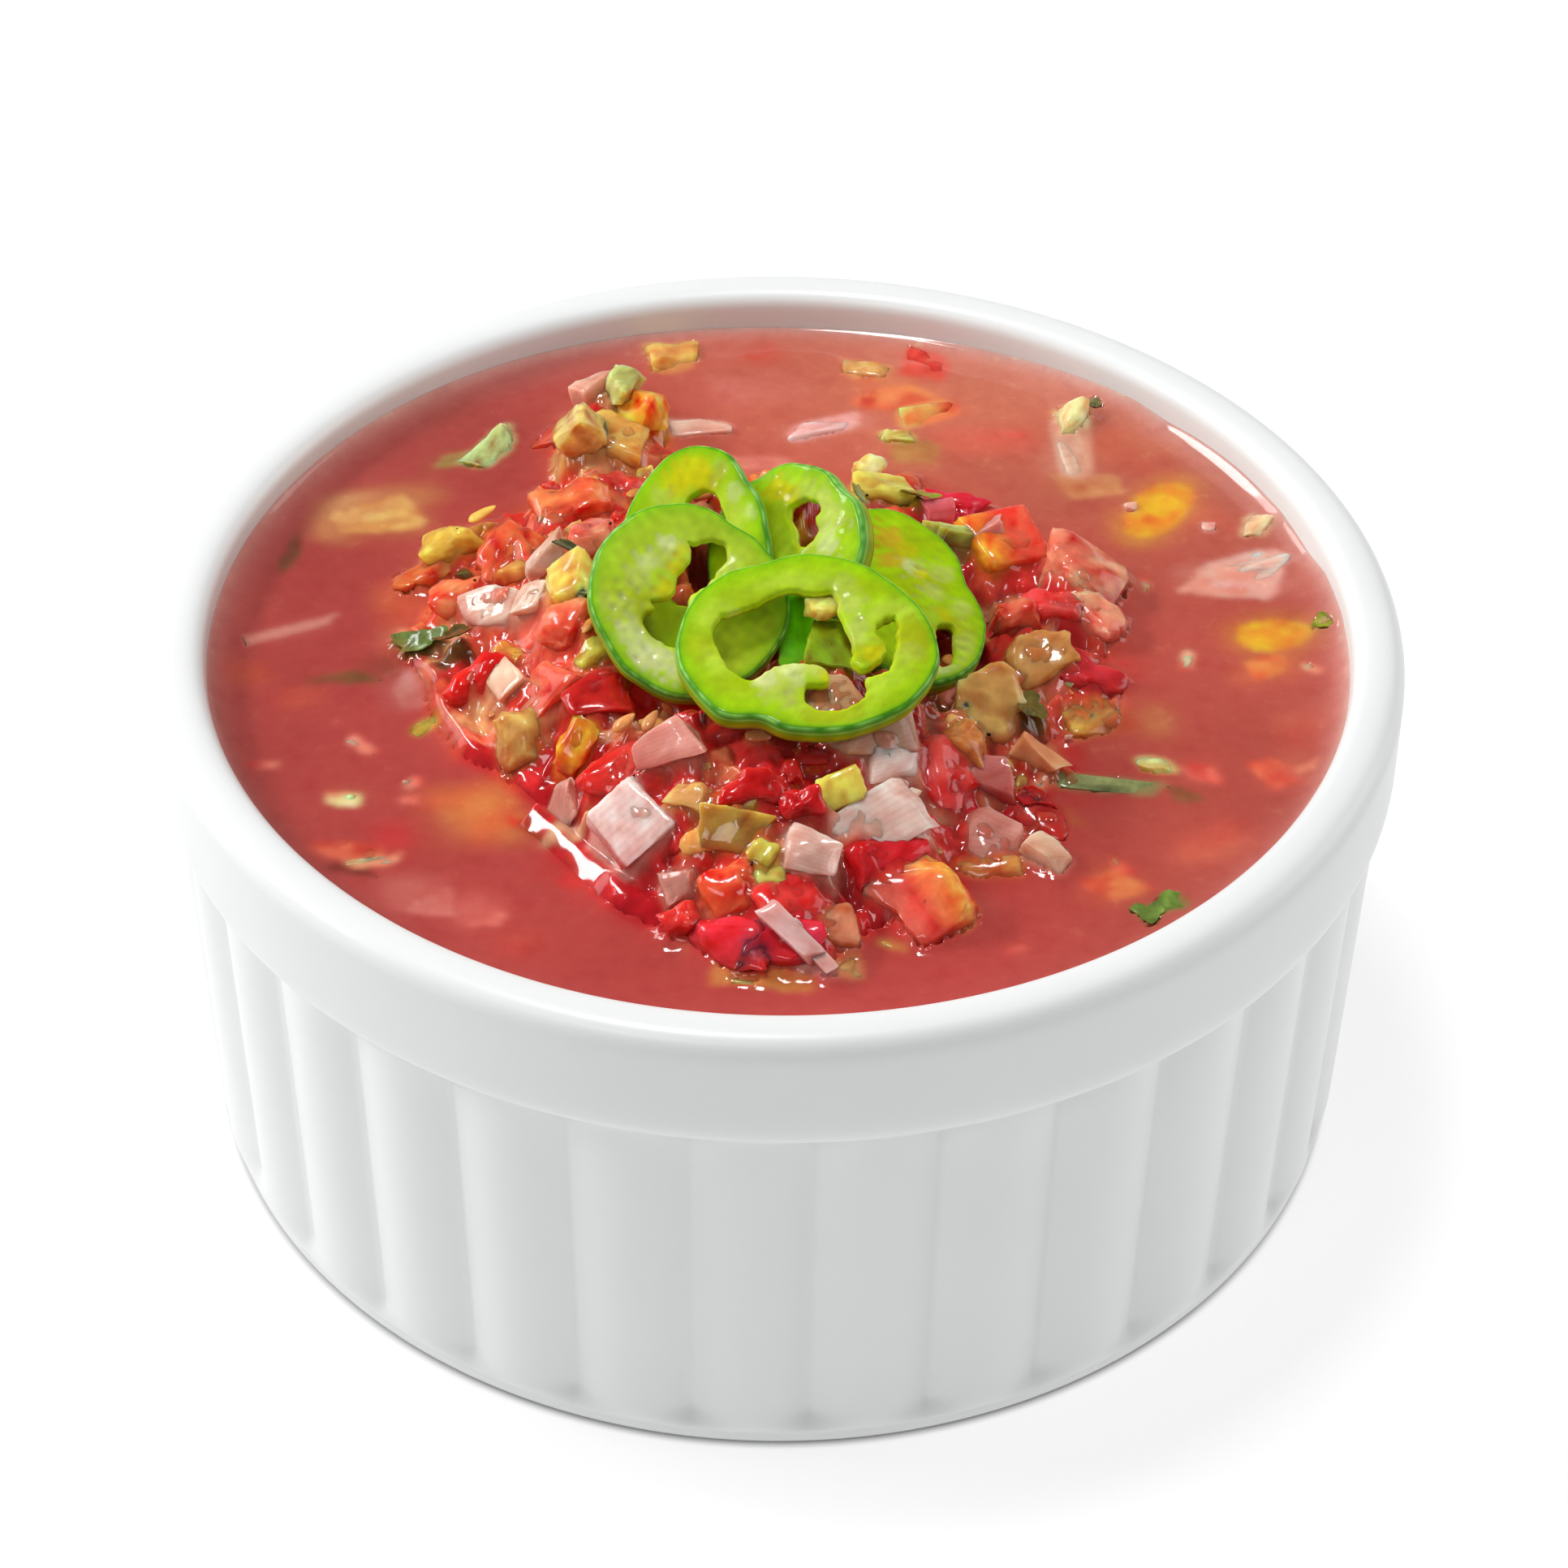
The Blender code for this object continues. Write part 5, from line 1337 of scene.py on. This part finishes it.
def place_afloat():
    """What lies in the liquid: each place in the photograph, depth of its top under the surface (negative: it sticks out), kind, size and turn."""
    items = [
        # px, py, depth, what, size, yaw, colour
        (450, 632, 0.5, "olive", (7.6, 5.4, 1.8), 14, (0.56, 0.40, 0.13)),
        (566, 566, 0.35, "olive", (5.0, 1.8, 0.8), 6, (0.24, 0.28, 0.08)),
        (517, 612, 1.0, "olive", (3.6, 3.0, 1.6), 30, (0.46, 0.26, 0.09)),
        (516, 735, 1.0, "tomato", (8.6, 6.4, 2.4), 24, (0.66, 0.16, 0.05)),
        (314, 672, 0.35, "leaf", (5.2, 1.1), 80, (0.045, 0.06, 0.010)),
        (353, 777, 0.3, "onion", (6.8, 0.9, 0.6), 26, (0.62, 0.30, 0.24)),
        (420, 836, 0.35, "leaf", (5.4, 1.2), 4, (0.09, 0.09, 0.02)),
        (470, 826, 0.8, "leaf", (5.0, 2.6), 12, (0.12, 0.07, 0.02)),
        (520, 850, 0.5, "onion", (4.8, 5.4, 2.2), 10, (0.56, 0.24, 0.21)),
        (530, 893, -0.15, "olive", (2.6, 1.0, 0.8), 42, (0.46, 0.35, 0.08)),
        (445, 918, -0.1, "tomato", (3.4, 0.9, 0.8), -42, (0.72, 0.25, 0.20)),
        (424, 984, -0.1, "tomato", (2.4, 1.7, 1.1), -12, (0.70, 0.42, 0.20)),
        (511, 966, 0.1, "tomato", (1.3, 1.0, 0.8), 20, (0.66, 0.20, 0.14)),
        (505, 985, 0.2, "tomato", (1.2, 0.8, 0.7), 10, (0.66, 0.20, 0.14)),
        (322, 944, 0.3, "tomato", (2.2, 0.8, 0.7), 10, (0.62, 0.16, 0.12)),
        (305, 828, 0.9, "tomato", (3.0, 2.4, 1.4), 0, (0.66, 0.20, 0.06)),
        (372, 855, 1.0, "tomato", (3.0, 2.0, 1.4), 20, (0.62, 0.14, 0.06)),
        (588, 1000, 0.7, "tomato", (6.4, 6.0, 2.4), 30, (0.78, 0.30, 0.06)),
        (630, 1020, 0.6, "olive", (4.0, 5.0, 2.0), 20, (0.50, 0.34, 0.10)),
        (480, 1040, 0.9, "red", (4.0, 3.4, 2.0), 50, (0.66, 0.015, 0.030)),
        (420, 1045, 0.2, "tomato", (5.4, 2.0, 1.2), -14, (0.62, 0.12, 0.06)),
        (458, 1062, 0.1, "tomato", (4.2, 0.8, 0.7), 12, (0.66, 0.24, 0.14)),
        (430, 1072, 0.3, "leaf", (3.4, 1.2), -12, (0.10, 0.02, 0.01)),
        (512, 1104, 0.45, "onion", (5.6, 3.4, 1.4), 4, (0.58, 0.22, 0.19)),
        (588, 1124, 0.6, "onion", (3.0, 3.0, 1.2), 60, (0.62, 0.20, 0.17)),
        (640, 1165, 0.9, "tomato", (3.0, 2.0, 1.2), 10, (0.56, 0.08, 0.05)),
        (745, 1080, 1.2, "red", (6.0, 3.0, 2.0), -40, (0.50, 0.006, 0.016)),
        (905, 1200, 0.12, "olive", (3.6, 2.0, 1.0), -4, (0.48, 0.25, 0.07)),
        (965, 1206, 0.12, "olive", (5.4, 2.1, 1.0), -4, (0.46, 0.22, 0.06)),
        (1038, 1196, 0.02, "olive", (2.6, 2.6, 1.2), 6, (0.50, 0.22, 0.10)),
        (1100, 1166, -0.15, "seed", (2.2, 0.7, 0.5), -28, (0.62, 0.36, 0.10)),
        (1150, 1130, 0.6, "red", (5.0, 3.0, 1.6), 30, (0.60, 0.06, 0.04)),
        (860, 528, -0.45, "onion", (3.8, 2.4, 1.8), 8, (0.74, 0.46, 0.40)),
        (1018, 524, -0.35, "onion", (5.6, 2.2, 1.5), 22, (0.74, 0.40, 0.35)),
        (938, 436, 0.5, "red", (3.4, 3.0, 1.8), 30, (0.62, 0.05, 0.03)),
        (930, 480, 0.8, "onion", (6.4, 3.4, 1.4), 0, (0.58, 0.18, 0.14)),
        (940, 575, 0.4, "onion", (5.4, 2.0, 1.2), 0, (0.66, 0.24, 0.17)),
        (1070, 458, -0.25, "olive", (3.4, 2.6, 1.2), -20, (0.60, 0.30, 0.12)),
        (1118, 492, 0.25, "tomato", (8.4, 4.6, 1.6), -22, (0.72, 0.16, 0.05)),
        (1150, 510, -0.1, "tomato", (4.8, 2.6, 1.0), 20, (0.74, 0.18, 0.06)),
        (1140, 450, 0.0, "red", (4.0, 3.6, 1.8), -20, (0.62, 0.04, 0.025)),
        (1210, 545, 0.8, "red", (7.0, 3.4, 1.8), 0, (0.66, 0.06, 0.05)),
        (1106, 540, -0.5, "olive", (2.6, 1.6, 1.2), 0, (0.44, 0.42, 0.14)),
        (1122, 560, 0.3, "olive", (4.0, 3.2, 1.4), -15, (0.34, 0.22, 0.06)),
        (1324, 520, -0.9, "olive", (2.4, 3.4, 2.4), 8, (0.66, 0.52, 0.34)),
        (1329, 562, 0.10, "onion", (3.8, 7.0, 1.4), 2, (0.76, 0.46, 0.36)),
        (1330, 597, 0.32, "onion", (5.4, 3.2, 1.2), 0, (0.54, 0.29, 0.14)),
        (1348, 500, -0.4, "leaf", (1.3, 1.1), 70, (0.22, 0.20, 0.07)),
        (1410, 550, 1.0, "tomato", (7.0, 6.0, 1.8), -40, (0.66, 0.14, 0.07)),
        (1426, 628, 0.07, "yellow", (10.2, 5.2, 2.3), 58, (0.90, 0.38, 0.002)),
        (1392, 626, -0.3, "onion", (0.9, 0.9, 0.8), 0, (0.80, 0.36, 0.30)),
        (1491, 651, -0.2, "onion", (0.9, 0.9, 0.7), 0, (0.78, 0.34, 0.28)),
        (1545, 651, -0.5, "onion", (1.8, 2.4, 1.2), -20, (0.78, 0.50, 0.28)),
        (1526, 708, 0.40, "flake", (7.6, 5.6, 1.4), 14, (0.80, 0.46, 0.39)),
        (1520, 690, 0.12, "thread", (4.6, 0.8, 0.7), 22, (0.84, 0.58, 0.50)),
        (1536, 704, 0.12, "thread", (3.6, 0.8, 0.7), 14, (0.84, 0.62, 0.54)),
        (1530, 720, 0.14, "thread", (4.2, 0.8, 0.7), 6, (0.84, 0.56, 0.48)),
        (1568, 782, 0.12, "yellow", (7.2, 4.8, 2.2), 12, (0.84, 0.42, 0.004)),
        (1560, 822, 0.3, "tomato", (4.0, 2.6, 1.2), 10, (0.76, 0.25, 0.06)),
        (1638, 772, -0.6, "leaf", (1.6, 1.3), 70, (0.30, 0.32, 0.03)),
        (1412, 720, -0.05, "tomato", (0.8, 2.0, 0.7), 12, (0.70, 0.22, 0.15)),
        (1464, 812, -0.05, "tomato", (0.8, 2.2, 0.7), -14, (0.68, 0.24, 0.17)),
        (1618, 826, -0.05, "tomato", (1.6, 0.8, 0.6), -30, (0.72, 0.26, 0.16)),
        (1365, 968, -0.18, "strip", (7.4, 1.5, 0.45), -6, (0.22, 0.25, 0.10)),
        (1424, 942, -0.3, "olive", (2.2, 1.3, 0.8), -4, (0.62, 0.60, 0.24)),
        (1460, 980, 0.15, "leaf", (2.6, 1.4), -30, (0.22, 0.12, 0.04)),
        (1480, 952, 0.15, "tomato", (2.8, 2.6, 1.4), 0, (0.76, 0.14, 0.10)),
        (1578, 950, 0.4, "tomato", (3.0, 2.8, 1.2), 20, (0.74, 0.14, 0.07)),
        (1604, 948, 0.0, "tomato", (2.4, 0.8, 0.7), 30, (0.72, 0.22, 0.14)),
        (1370, 1092, 0.4, "tomato", (3.6, 3.8, 1.6), 50, (0.76, 0.13, 0.05)),
        (1385, 1070, 0.1, "tomato", (1.2, 2.0, 0.9), 10, (0.74, 0.16, 0.08)),
        (1415, 1126, -0.15, "leaf", (2.2, 1.8), -50, (0.15, 0.23, 0.045)),
        (1440, 1114, -0.15, "leaf", (3.0, 1.8), 28, (0.14, 0.22, 0.040)),
        (1279, 969, -0.15, "olive", (0.9, 0.8, 0.7), 0, (0.76, 0.40, 0.26)),
        (1252, 1168, 0.4, "tomato", (1.6, 1.2, 0.8), 20, (0.66, 0.14, 0.10)),
        (1290, 700, 1.0, "red", (4.0, 4.0, 2.0), 0, (0.56, 0.05, 0.05)),
        (1400, 880, 0.7, "olive", (5.0, 3.6, 1.6), -20, (0.46, 0.22, 0.08)),
        (1500, 640, 0.9, "tomato", (5.0, 3.4, 1.4), -30, (0.60, 0.12, 0.07)),
        (1600, 900, 0.9, "tomato", (3.4, 4.4, 1.4), 0, (0.64, 0.12, 0.07)),
        (1500, 1040, 1.0, "tomato", (6.0, 3.4, 1.4), 30, (0.62, 0.07, 0.05)),
    ]
    for i, (px, py, depth, what, size, yaw, colour) in enumerate(items):
        rs = np.random.RandomState(400 + i)
        at = spot(px, py, flat=LEVEL)
        batch, kind, _, shape = KINDS[what]
        shape = dict(shape)
        if kind == "chunk":
            shape["n"] = 6
        thick = size[2] if len(size) > 2 else 0.25
        at[2] = LEVEL - depth - thick / 2
        if math.hypot(at[0], at[1]) + max(size[:2]) * 0.5 > 40.6:           # clear of the wall
            k = (40.6 - max(size[:2]) * 0.5) / math.hypot(at[0], at[1])
            at[:2] *= max(k, 0.9)
        tilt = rs.uniform(2, 7) * (0.15 if what in ("yellow", "flake") else 1.0)
        put(batch, kind, at, size, yaw, tilt, rs.uniform(0, 360), colour, rs, level=True, sink=0.0, stain=False, **shape)


def scatter_heap():
    """Fills the heap between the pieces placed one by one."""
    rs = np.random.RandomState(77)
    big = list(placed)
    kinds = [("tomato", 0.40), ("red", 0.30), ("onion", 0.11), ("olive", 0.14), ("leaf", 0.05)]
    names = [k for k, _ in kinds]
    odds = np.array([w for _, w in kinds])
    count, tries = 0, 0
    mine = []
    while count < 95 and tries < 9000:
        tries += 1
        x, y = rs.uniform(-30, 30), rs.uniform(-37, 44)
        s = float(heap_share(x, y))
        deg = math.degrees(math.atan2(y - HEAP_CY, x - HEAP_CX))
        if s > 0.97 or (s > 0.84 and float(bump(deg, -122.0, 24.0) + bump(deg, -172.0, 16.0)) > 0.35):
            continue
        what = rs.choice(names, p=odds)
        L = {"tomato": rs.uniform(2.2, 4.2), "red": rs.uniform(1.8, 3.4), "onion": rs.uniform(2.2, 4.2), "olive": rs.uniform(1.8, 3.4), "leaf": rs.uniform(1.6, 3.2)}[what]
        free = True
        for bx, by, br in big:
            if (bx - x) ** 2 + (by - y) ** 2 < (br * 0.80 + L * 0.30) ** 2:
                free = False
                break
        if free:
            for bx, by, br in mine:
                if (bx - x) ** 2 + (by - y) ** 2 < (br * 0.62 + L * 0.30) ** 2:
                    free = False
                    break
        if not free:
            continue
        count += 1
        mine.append((x, y, L / 2))
        batch, kind, _, shape = KINDS[what]
        shape = dict(shape)
        if kind == "chunk":
            shape["n"] = 6
        z = float(heap_top(np.float64(x), np.float64(y)))
        edge = np.clip((s - 0.82) / 0.18, 0, 1)
        z = z - 1.6 * edge ** 1.5
        under = float(rest_height(x, y, margin=0.0)) < 900
        z = z - rs.uniform(0.2, 1.0) - (0.6 if under else 0.0)
        front, left = y < -13, x < -6
        if what == "tomato":
            size = (L, L * rs.uniform(0.65, 0.95), L * rs.uniform(0.5, 0.8))
            pick = [(0.66, 0.04, 0.03), (0.62, 0.025, 0.03), SALMON, (0.72, 0.10, 0.05)] if front else [SALMON, (0.78, 0.16, 0.07), ORANGE, (0.74, 0.10, 0.045), (0.80, 0.22, 0.10)]
            colour = pick[rs.randint(len(pick))]
        elif what == "red":
            size = (L, L * rs.uniform(0.6, 0.95), L * rs.uniform(0.5, 0.8))
            colour = ([RED, (0.58, 0.012, 0.020), (0.44, 0.008, 0.012)] if front else [RED, (0.68, 0.035, 0.025), (0.74, 0.07, 0.04)])[rs.randint(3)]
        elif what == "onion":
            size = (L, L * rs.uniform(0.4, 0.8), rs.uniform(0.9, 1.6))
            colour = [PINKISH, WHITE_ONION, (0.62, 0.30, 0.25), (0.60, 0.26, 0.19)][rs.randint(4)]
        elif what == "olive":
            size = (L, L * rs.uniform(0.6, 0.95), L * rs.uniform(0.5, 0.7))
            colour = [YELLOW_OLIVE, OLIVE_C, (0.50, 0.38, 0.09), (0.56, 0.30, 0.12)][rs.randint(4)]
        else:
            size = (L, L * rs.uniform(0.4, 0.7))
            colour = [LEAF, LEAF_DARK, (0.20, 0.22, 0.05)][rs.randint(3)]
        put(batch, kind, (x, y, z), size, rs.uniform(0, 180), rs.uniform(0, 32) * (0.4 if under else 1.0), rs.uniform(0, 360), colour, rs, **shape)
    # crumbs of every kind
    tiny = [(TOMATO, (0.66, 0.05, 0.03)), (TOMATO, (0.74, 0.18, 0.08)), (ONION, WHITE_ONION), (OLIVE, YELLOW_OLIVE), (OLIVE, (0.62, 0.34, 0.12)), (HERB, LEAF_DARK)]
    for i in range(190):
        x, y = rs.uniform(-29, 29), rs.uniform(-36, 42)
        if float(heap_share(x, y)) > 0.93:
            continue
        z = float(heap_top(np.float64(x), np.float64(y))) - rs.uniform(0.1, 1.0)
        L = rs.uniform(0.5, 1.4)
        batch, colour = tiny[rs.randint(len(tiny))]
        put(batch, "chunk", (x, y, z), (L, L * rs.uniform(0.4, 0.9), L * rs.uniform(0.35, 0.8)), rs.uniform(0, 180), rs.uniform(0, 50), rs.uniform(0, 360),
            colour, rs, n=3, warp=0.25, rough=0.1, cuts=1, edge=0.6, fine=0.02)
    # seeds
    for i in range(70):
        x, y = rs.uniform(-28, 28), rs.uniform(-35, 40)
        if float(heap_share(x, y)) > 0.9:
            continue
        z = float(heap_top(np.float64(x), np.float64(y))) - rs.uniform(-0.1, 0.8)
        L = rs.uniform(1.3, 2.3)
        put(SEED, "ball", (x, y, z), (L, L * 0.62, L * 0.34), rs.uniform(0, 360), rs.uniform(0, 35), rs.uniform(0, 360),
            [SEED_C, (0.70, 0.40, 0.16), (0.56, 0.24, 0.07)][rs.randint(3)], rs, n=5, taper=0.45)


LIQUID_C = np.array([0.495, 0.065, 0.056])
# painted light towards the back, painted shade at the left
LIQUID_BACK_PAINTED_LIGHT = np.array([0.640, 0.180, 0.108])
LIQUID_LEFT_PAINTED_SHADE = np.array([0.408, 0.060, 0.052])


def liquid_base(x, y):
    """The liquid's colour with painted light and shade: a little darker at the left, lighter and more orange towards
    the back and right.
    """
    back = np.clip((y + 5) / 38, 0, 1)[..., None] * np.clip((x + 22) / 30, 0.15, 1)[..., None]
    back = np.maximum(back, np.clip((x - 16) / 50, 0, 0.25)[..., None])
    left = np.clip((-x - 8) / 30, 0, 1)[..., None] * 0.9
    c = LIQUID_C * (1 - back) + LIQUID_BACK_PAINTED_LIGHT * back
    c = c * (1 - left) + LIQUID_LEFT_PAINTED_SHADE * left
    # painted shade: dimmer towards the back right, the back left and the right
    painted_dimming = 0.10 * np.clip((x - 8) / 30, 0, 1) * np.clip((y - 2) / 30, 0, 1) + 0.16 * np.clip((-x - 5) / 20, 0, 1) * np.clip((y - 8) / 20, 0, 1) + 0.05 * np.clip((x - 10) / 20, 0, 1)
    return c * (1 - painted_dimming[..., None])


def make_liquid(core):
    cell, lo, hi = 0.25, (-42.0, -42.0), (42.0, 42.0)
    top, colour = cast(BATCHES, lo, hi, cell, [core])
    ny, nx = top.shape
    gx, gy = np.meshgrid(lo[0] + cell * np.arange(nx), lo[1] + cell * np.arange(ny))
    body = liquid_base(gx, gy)
    seen = body.copy()
    for near, far, sigma, strength in ((1.6, 6.0, 1.5, 0.95), (0.55, 1.6, 0.75, 0.95), (-9.0, 0.55, 0.22, 0.92)):
        d = LEVEL - top
        a = np.where((d >= near) & (d < far), np.exp(-np.maximum(d, 0) / 1.25), 0.0)
        weight = blur(a, sigma / cell)[..., None]
        tint = blur(a[..., None] * colour, sigma / cell) / np.maximum(weight, 1e-6)
        k = np.clip(weight * strength, 0, 1)
        veiled = tint * 0.84 + body * 0.16
        seen = seen * (1 - k) + veiled * k
    # where pieces stand out of the liquid, and how high the liquid climbs on them
    out = top > LEVEL + 0.12
    rise = np.where(out, np.clip((top - LEVEL - 0.08) * 0.75, 0.0, 0.85), 0.0)
    along, out_by, far = lip_place(gx, gy)
    rise = rise * (1 - ((along > -1.2) & (along < far + 1.2) & (out_by > -3.0) & (out_by < 2.2)))
    jj, ii = np.nonzero(out)
    edge = out & ~(np.roll(out, 1, 0) & np.roll(out, -1, 0) & np.roll(out, 1, 1) & np.roll(out, -1, 1))
    ej, ei = np.nonzero(edge)
    kd = KDTree(len(ej))
    for k, (j, i) in enumerate(zip(ej, ei)):
        kd.insert((gx[j, i], gy[j, i], 0), k)
    kd.balance()
    soft_rise = blur(rise, 2.4) / np.maximum(blur(out.astype(float), 2.4), 1e-3)
    # the surface
    rings, spacing = 152, 0.2715
    ring, turn, faces, m0 = disc(rings)
    reach = (ring + 0.12 * rings * np.sin(math.pi * ring / rings)) * spacing
    P = np.stack([reach * np.cos(turn), reach * np.sin(turn)], 1)
    R = np.hypot(P[:, 0], P[:, 1])
    z = np.full(len(P), LEVEL)
    is_out = sample(out.astype(float), P[:, 0], P[:, 1], lo, cell) > 0.5
    lid = sample(top, P[:, 0], P[:, 1], lo, cell) - 0.15
    height = sample(soft_rise, P[:, 0], P[:, 1], lo, cell)
    for k in range(len(P)):
        near = kd.find((P[k, 0], P[k, 1], 0))
        if near[0] is None:
            continue
        d = near[2]
        if is_out[k]:
            z[k] += height[k] if d < 0.5 else height[k] * max(0.0, 1 - (d - 0.5) / 0.8) - 0.5 * min(1.0, (d - 0.5) / 0.8)
            z[k] = max(min(z[k], lid[k]), LEVEL - 0.6)
        elif d < 4.0:
            h = soft_rise[ej[near[1]], ei[near[1]]]
            z[k] += h * math.exp(-d / 0.62)
    wall_r = 41.15
    turn_deg = np.degrees(np.arctan2(P[:, 1], P[:, 0]))
    to_wall = wall_r - np.minimum(R, wall_r)
    near = np.clip((48.0 - turn_deg) / 5.0, 0, 1) * np.clip((turn_deg - 12.0) / 5.0, 0, 1)
    wide = 0.45 + 0.45 * np.sin(math.pi * np.clip((turn_deg - 14.0) / 32.0, 0, 1))
    steep = np.clip(0.80 + 0.0155 * (turn_deg - 22.0), 0.88, 1.10)
    ramp_up = 0.5 * (wide - to_wall) + 0.5 * np.sqrt((wide - to_wall) ** 2 + 0.10 ** 2)
    behind = bump(turn_deg, 88.0, 34.0)
    z += (1.15 - 0.85 * behind) * np.exp(-to_wall / (0.90 - 0.52 * behind)) * (1 - near) + ((steep - 0.04) * ramp_up + 0.05 * np.clip(wide - to_wall, 0, 1) ** 2) * near
    rs = np.random.RandomState(9)
    z += 0.030 * sines(np.c_[P, P[:, :1] * 0], rs, 9.0, 6) * np.clip((wall_r - R) / 3, 0, 1)
    tint = sample(seen, P[:, 0], P[:, 1], lo, cell)
    # near the wall the liquid is paled towards pink: partly the thin liquid over the white glaze, partly painted light,
    # strongest towards the back right
    theta = np.arctan2(P[:, 1], P[:, 0])
    thin = np.exp(-(wall_r - np.minimum(R, wall_r)) / 0.55)
    painted_wall_halo = np.exp(-(wall_r - np.minimum(R, wall_r)) / 1.9)
    side = 0.5 + 0.5 * np.cos(theta - math.radians(55))
    k = np.clip(thin * (0.40 + 0.45 * side) + painted_wall_halo * (0.06 + 0.20 * side), 0, 0.9)[:, None]
    tint = tint * (1 - k) + np.array([0.78, 0.44, 0.38]) * k
    verts = np.c_[P, z]
    # the body under the surface, down to the floor of the dish
    count = 6 * rings
    ang = 2 * math.pi * np.arange(count) / count
    prev = m0 + np.arange(count)
    allv, allc = [verts], [tint]
    total = len(verts)
    for zz in (36.0, 26.0, 16.0, FLOOR_Z + CORNER_R, FLOOR_Z + 2.2, FLOOR_Z + 0.5):
        rr = inner_radius(zz) - 0.2
        allv.append(np.stack([rr * np.cos(ang), rr * np.sin(ang), np.full(count, zz)], 1))
        allc.append(np.broadcast_to(LIQUID_C, (count, 3)))
        cur = total + np.arange(count)
        total += count
        faces += np.stack([prev, cur, np.roll(cur, -1), np.roll(prev, -1)], 1).tolist()
        prev = cur
    allv.append(np.array([[0, 0, FLOOR_Z + 0.4]])); allc.append(np.array([LIQUID_C]))
    for i in range(count):
        faces.append((total, int(prev[(i + 1) % count]), int(prev[i])))
    ob = make_mesh("tomato_liquid", np.concatenate(allv), faces, M_LIQUID, tint=np.clip(np.concatenate(allc), 0, 1))
    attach(ob, "root"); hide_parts("salsa_liquid")
    return ob


# ------------------------------------------------------------------ build it
make_dish()
for i, (name, s) in enumerate(SLICES.items()):
    make_slice(name, s, 20 + i)
place_heroes()
place_afloat()
scatter_heap()
make_specks()
core = make_core()
for batch in (TOMATO, ONION, OLIVE, HERB, SEED, SPECK):
    batch.make()
make_liquid(core)

# ------------------------------------------------------------------ floor, light and camera
def stage_scene():
    m, nt, s = new_material("studio_floor")
    co = coords(nt)
    tone = ramp(nt, noise(nt, co, 3.0, 2.0), [(0.3, grey(0.33)), (0.7, grey(0.34))])
    nt.links.new(tone, s.inputs["Base Color"])
    s.inputs["Roughness"].default_value = 0.9
    s.inputs["Specular IOR Level"].default_value = 0.0
    s.inputs["Emission Color"].default_value = (1.0, 1.0, 1.0, 1.0)      # a lit white table: its shadows stay faint
    s.inputs["Emission Strength"].default_value = 0.74
    # painted contact shadow: the table's glow fades out in a thin ring just round the dish's foot
    r = node(nt, "ShaderNodeVectorMath", operation="LENGTH")
    nt.links.new(co, r.inputs[0])
    away = node(nt, "ShaderNodeMapRange", interpolation_type="SMOOTHSTEP")
    away.inputs["From Min"].default_value, away.inputs["From Max"].default_value = 0.0420, 0.0431
    away.inputs["To Min"].default_value, away.inputs["To Max"].default_value = 0.0, 1.0
    nt.links.new(r.outputs["Value"], away.inputs["Value"])
    glow_with_painted_contact_shadow = node(nt, "ShaderNodeCombineColor")
    for k in range(3):
        nt.links.new(away.outputs["Result"], glow_with_painted_contact_shadow.inputs[k])
    nt.links.new(glow_with_painted_contact_shadow.outputs["Color"], s.inputs["Emission Color"])
    w = 900.0
    floor = make_mesh("studio_floor", [(-w, -w, 0), (w, -w, 0), (w, w, 0), (-w, w, 0)], [(0, 1, 2, 3)], m, smooth=False)
    world = bpy.data.worlds.new("studio")
    bpy.context.scene.world = world
    world.use_nodes = True
    bg = world.node_tree.nodes["Background"]
    bg.inputs["Color"].default_value = (1.0, 1.0, 1.0, 1.0)
    bg.inputs["Strength"].default_value = 0.16

    def area(name, direction, distance, size, power, target=(0, 0, 30.0), colour=(1, 1, 1)):
        d = np.array(direction, float)
        d /= np.linalg.norm(d)
        lamp = bpy.data.lights.new(name, "AREA")
        lamp.shape = "RECTANGLE"
        lamp.size, lamp.size_y = size[0] * MM, size[1] * MM
        lamp.energy = power
        lamp.color = colour
        ob = bpy.data.objects.new(name, lamp)
        ob.location = Vector((np.array(target) + d * distance) * MM)
        ob.rotation_euler = Vector(d).to_track_quat("Z", "Y").to_euler()
        bpy.context.scene.collection.objects.link(ob)
    area("key_left", (-0.80, 0.16, 0.575), 700, (290, 90), 2.05)
    area("far_left", (-0.70, 0.48, 0.53), 743, (240, 90), 0.66)
    area("top", (-0.12, 0.12, 1.0), 800, (170, 130), 3.0)
    area("front_top", (-0.30, -0.60, 0.74), 800, (240, 160), 0.88)
    area("wide_left", (-0.88, 0.42, 0.26), 800, (420, 300), 0.80)
    area("wide_right", (0.88, 0.20, 0.32), 800, (520, 460), 1.75)

    scene = bpy.context.scene
    scene.view_settings.view_transform = "Standard"
    scene.view_settings.look = "None"
    cam = bpy.data.cameras.new("camera")
    cam.lens, cam.sensor_width = CAM_F * 36.0 / 1932.0, 36.0
    cam.clip_start, cam.clip_end = 0.01, 20.0
    ob = bpy.data.objects.new("camera", cam)
    rot = Matrix((CAM_R, CAM_U, -CAM_FWD)).transposed()
    ob.matrix_world = Matrix.Translation(Vector(CAM_AT * MM)) @ rot.to_4x4()
    bpy.context.scene.collection.objects.link(ob)
    scene.camera = ob


stage_scene()
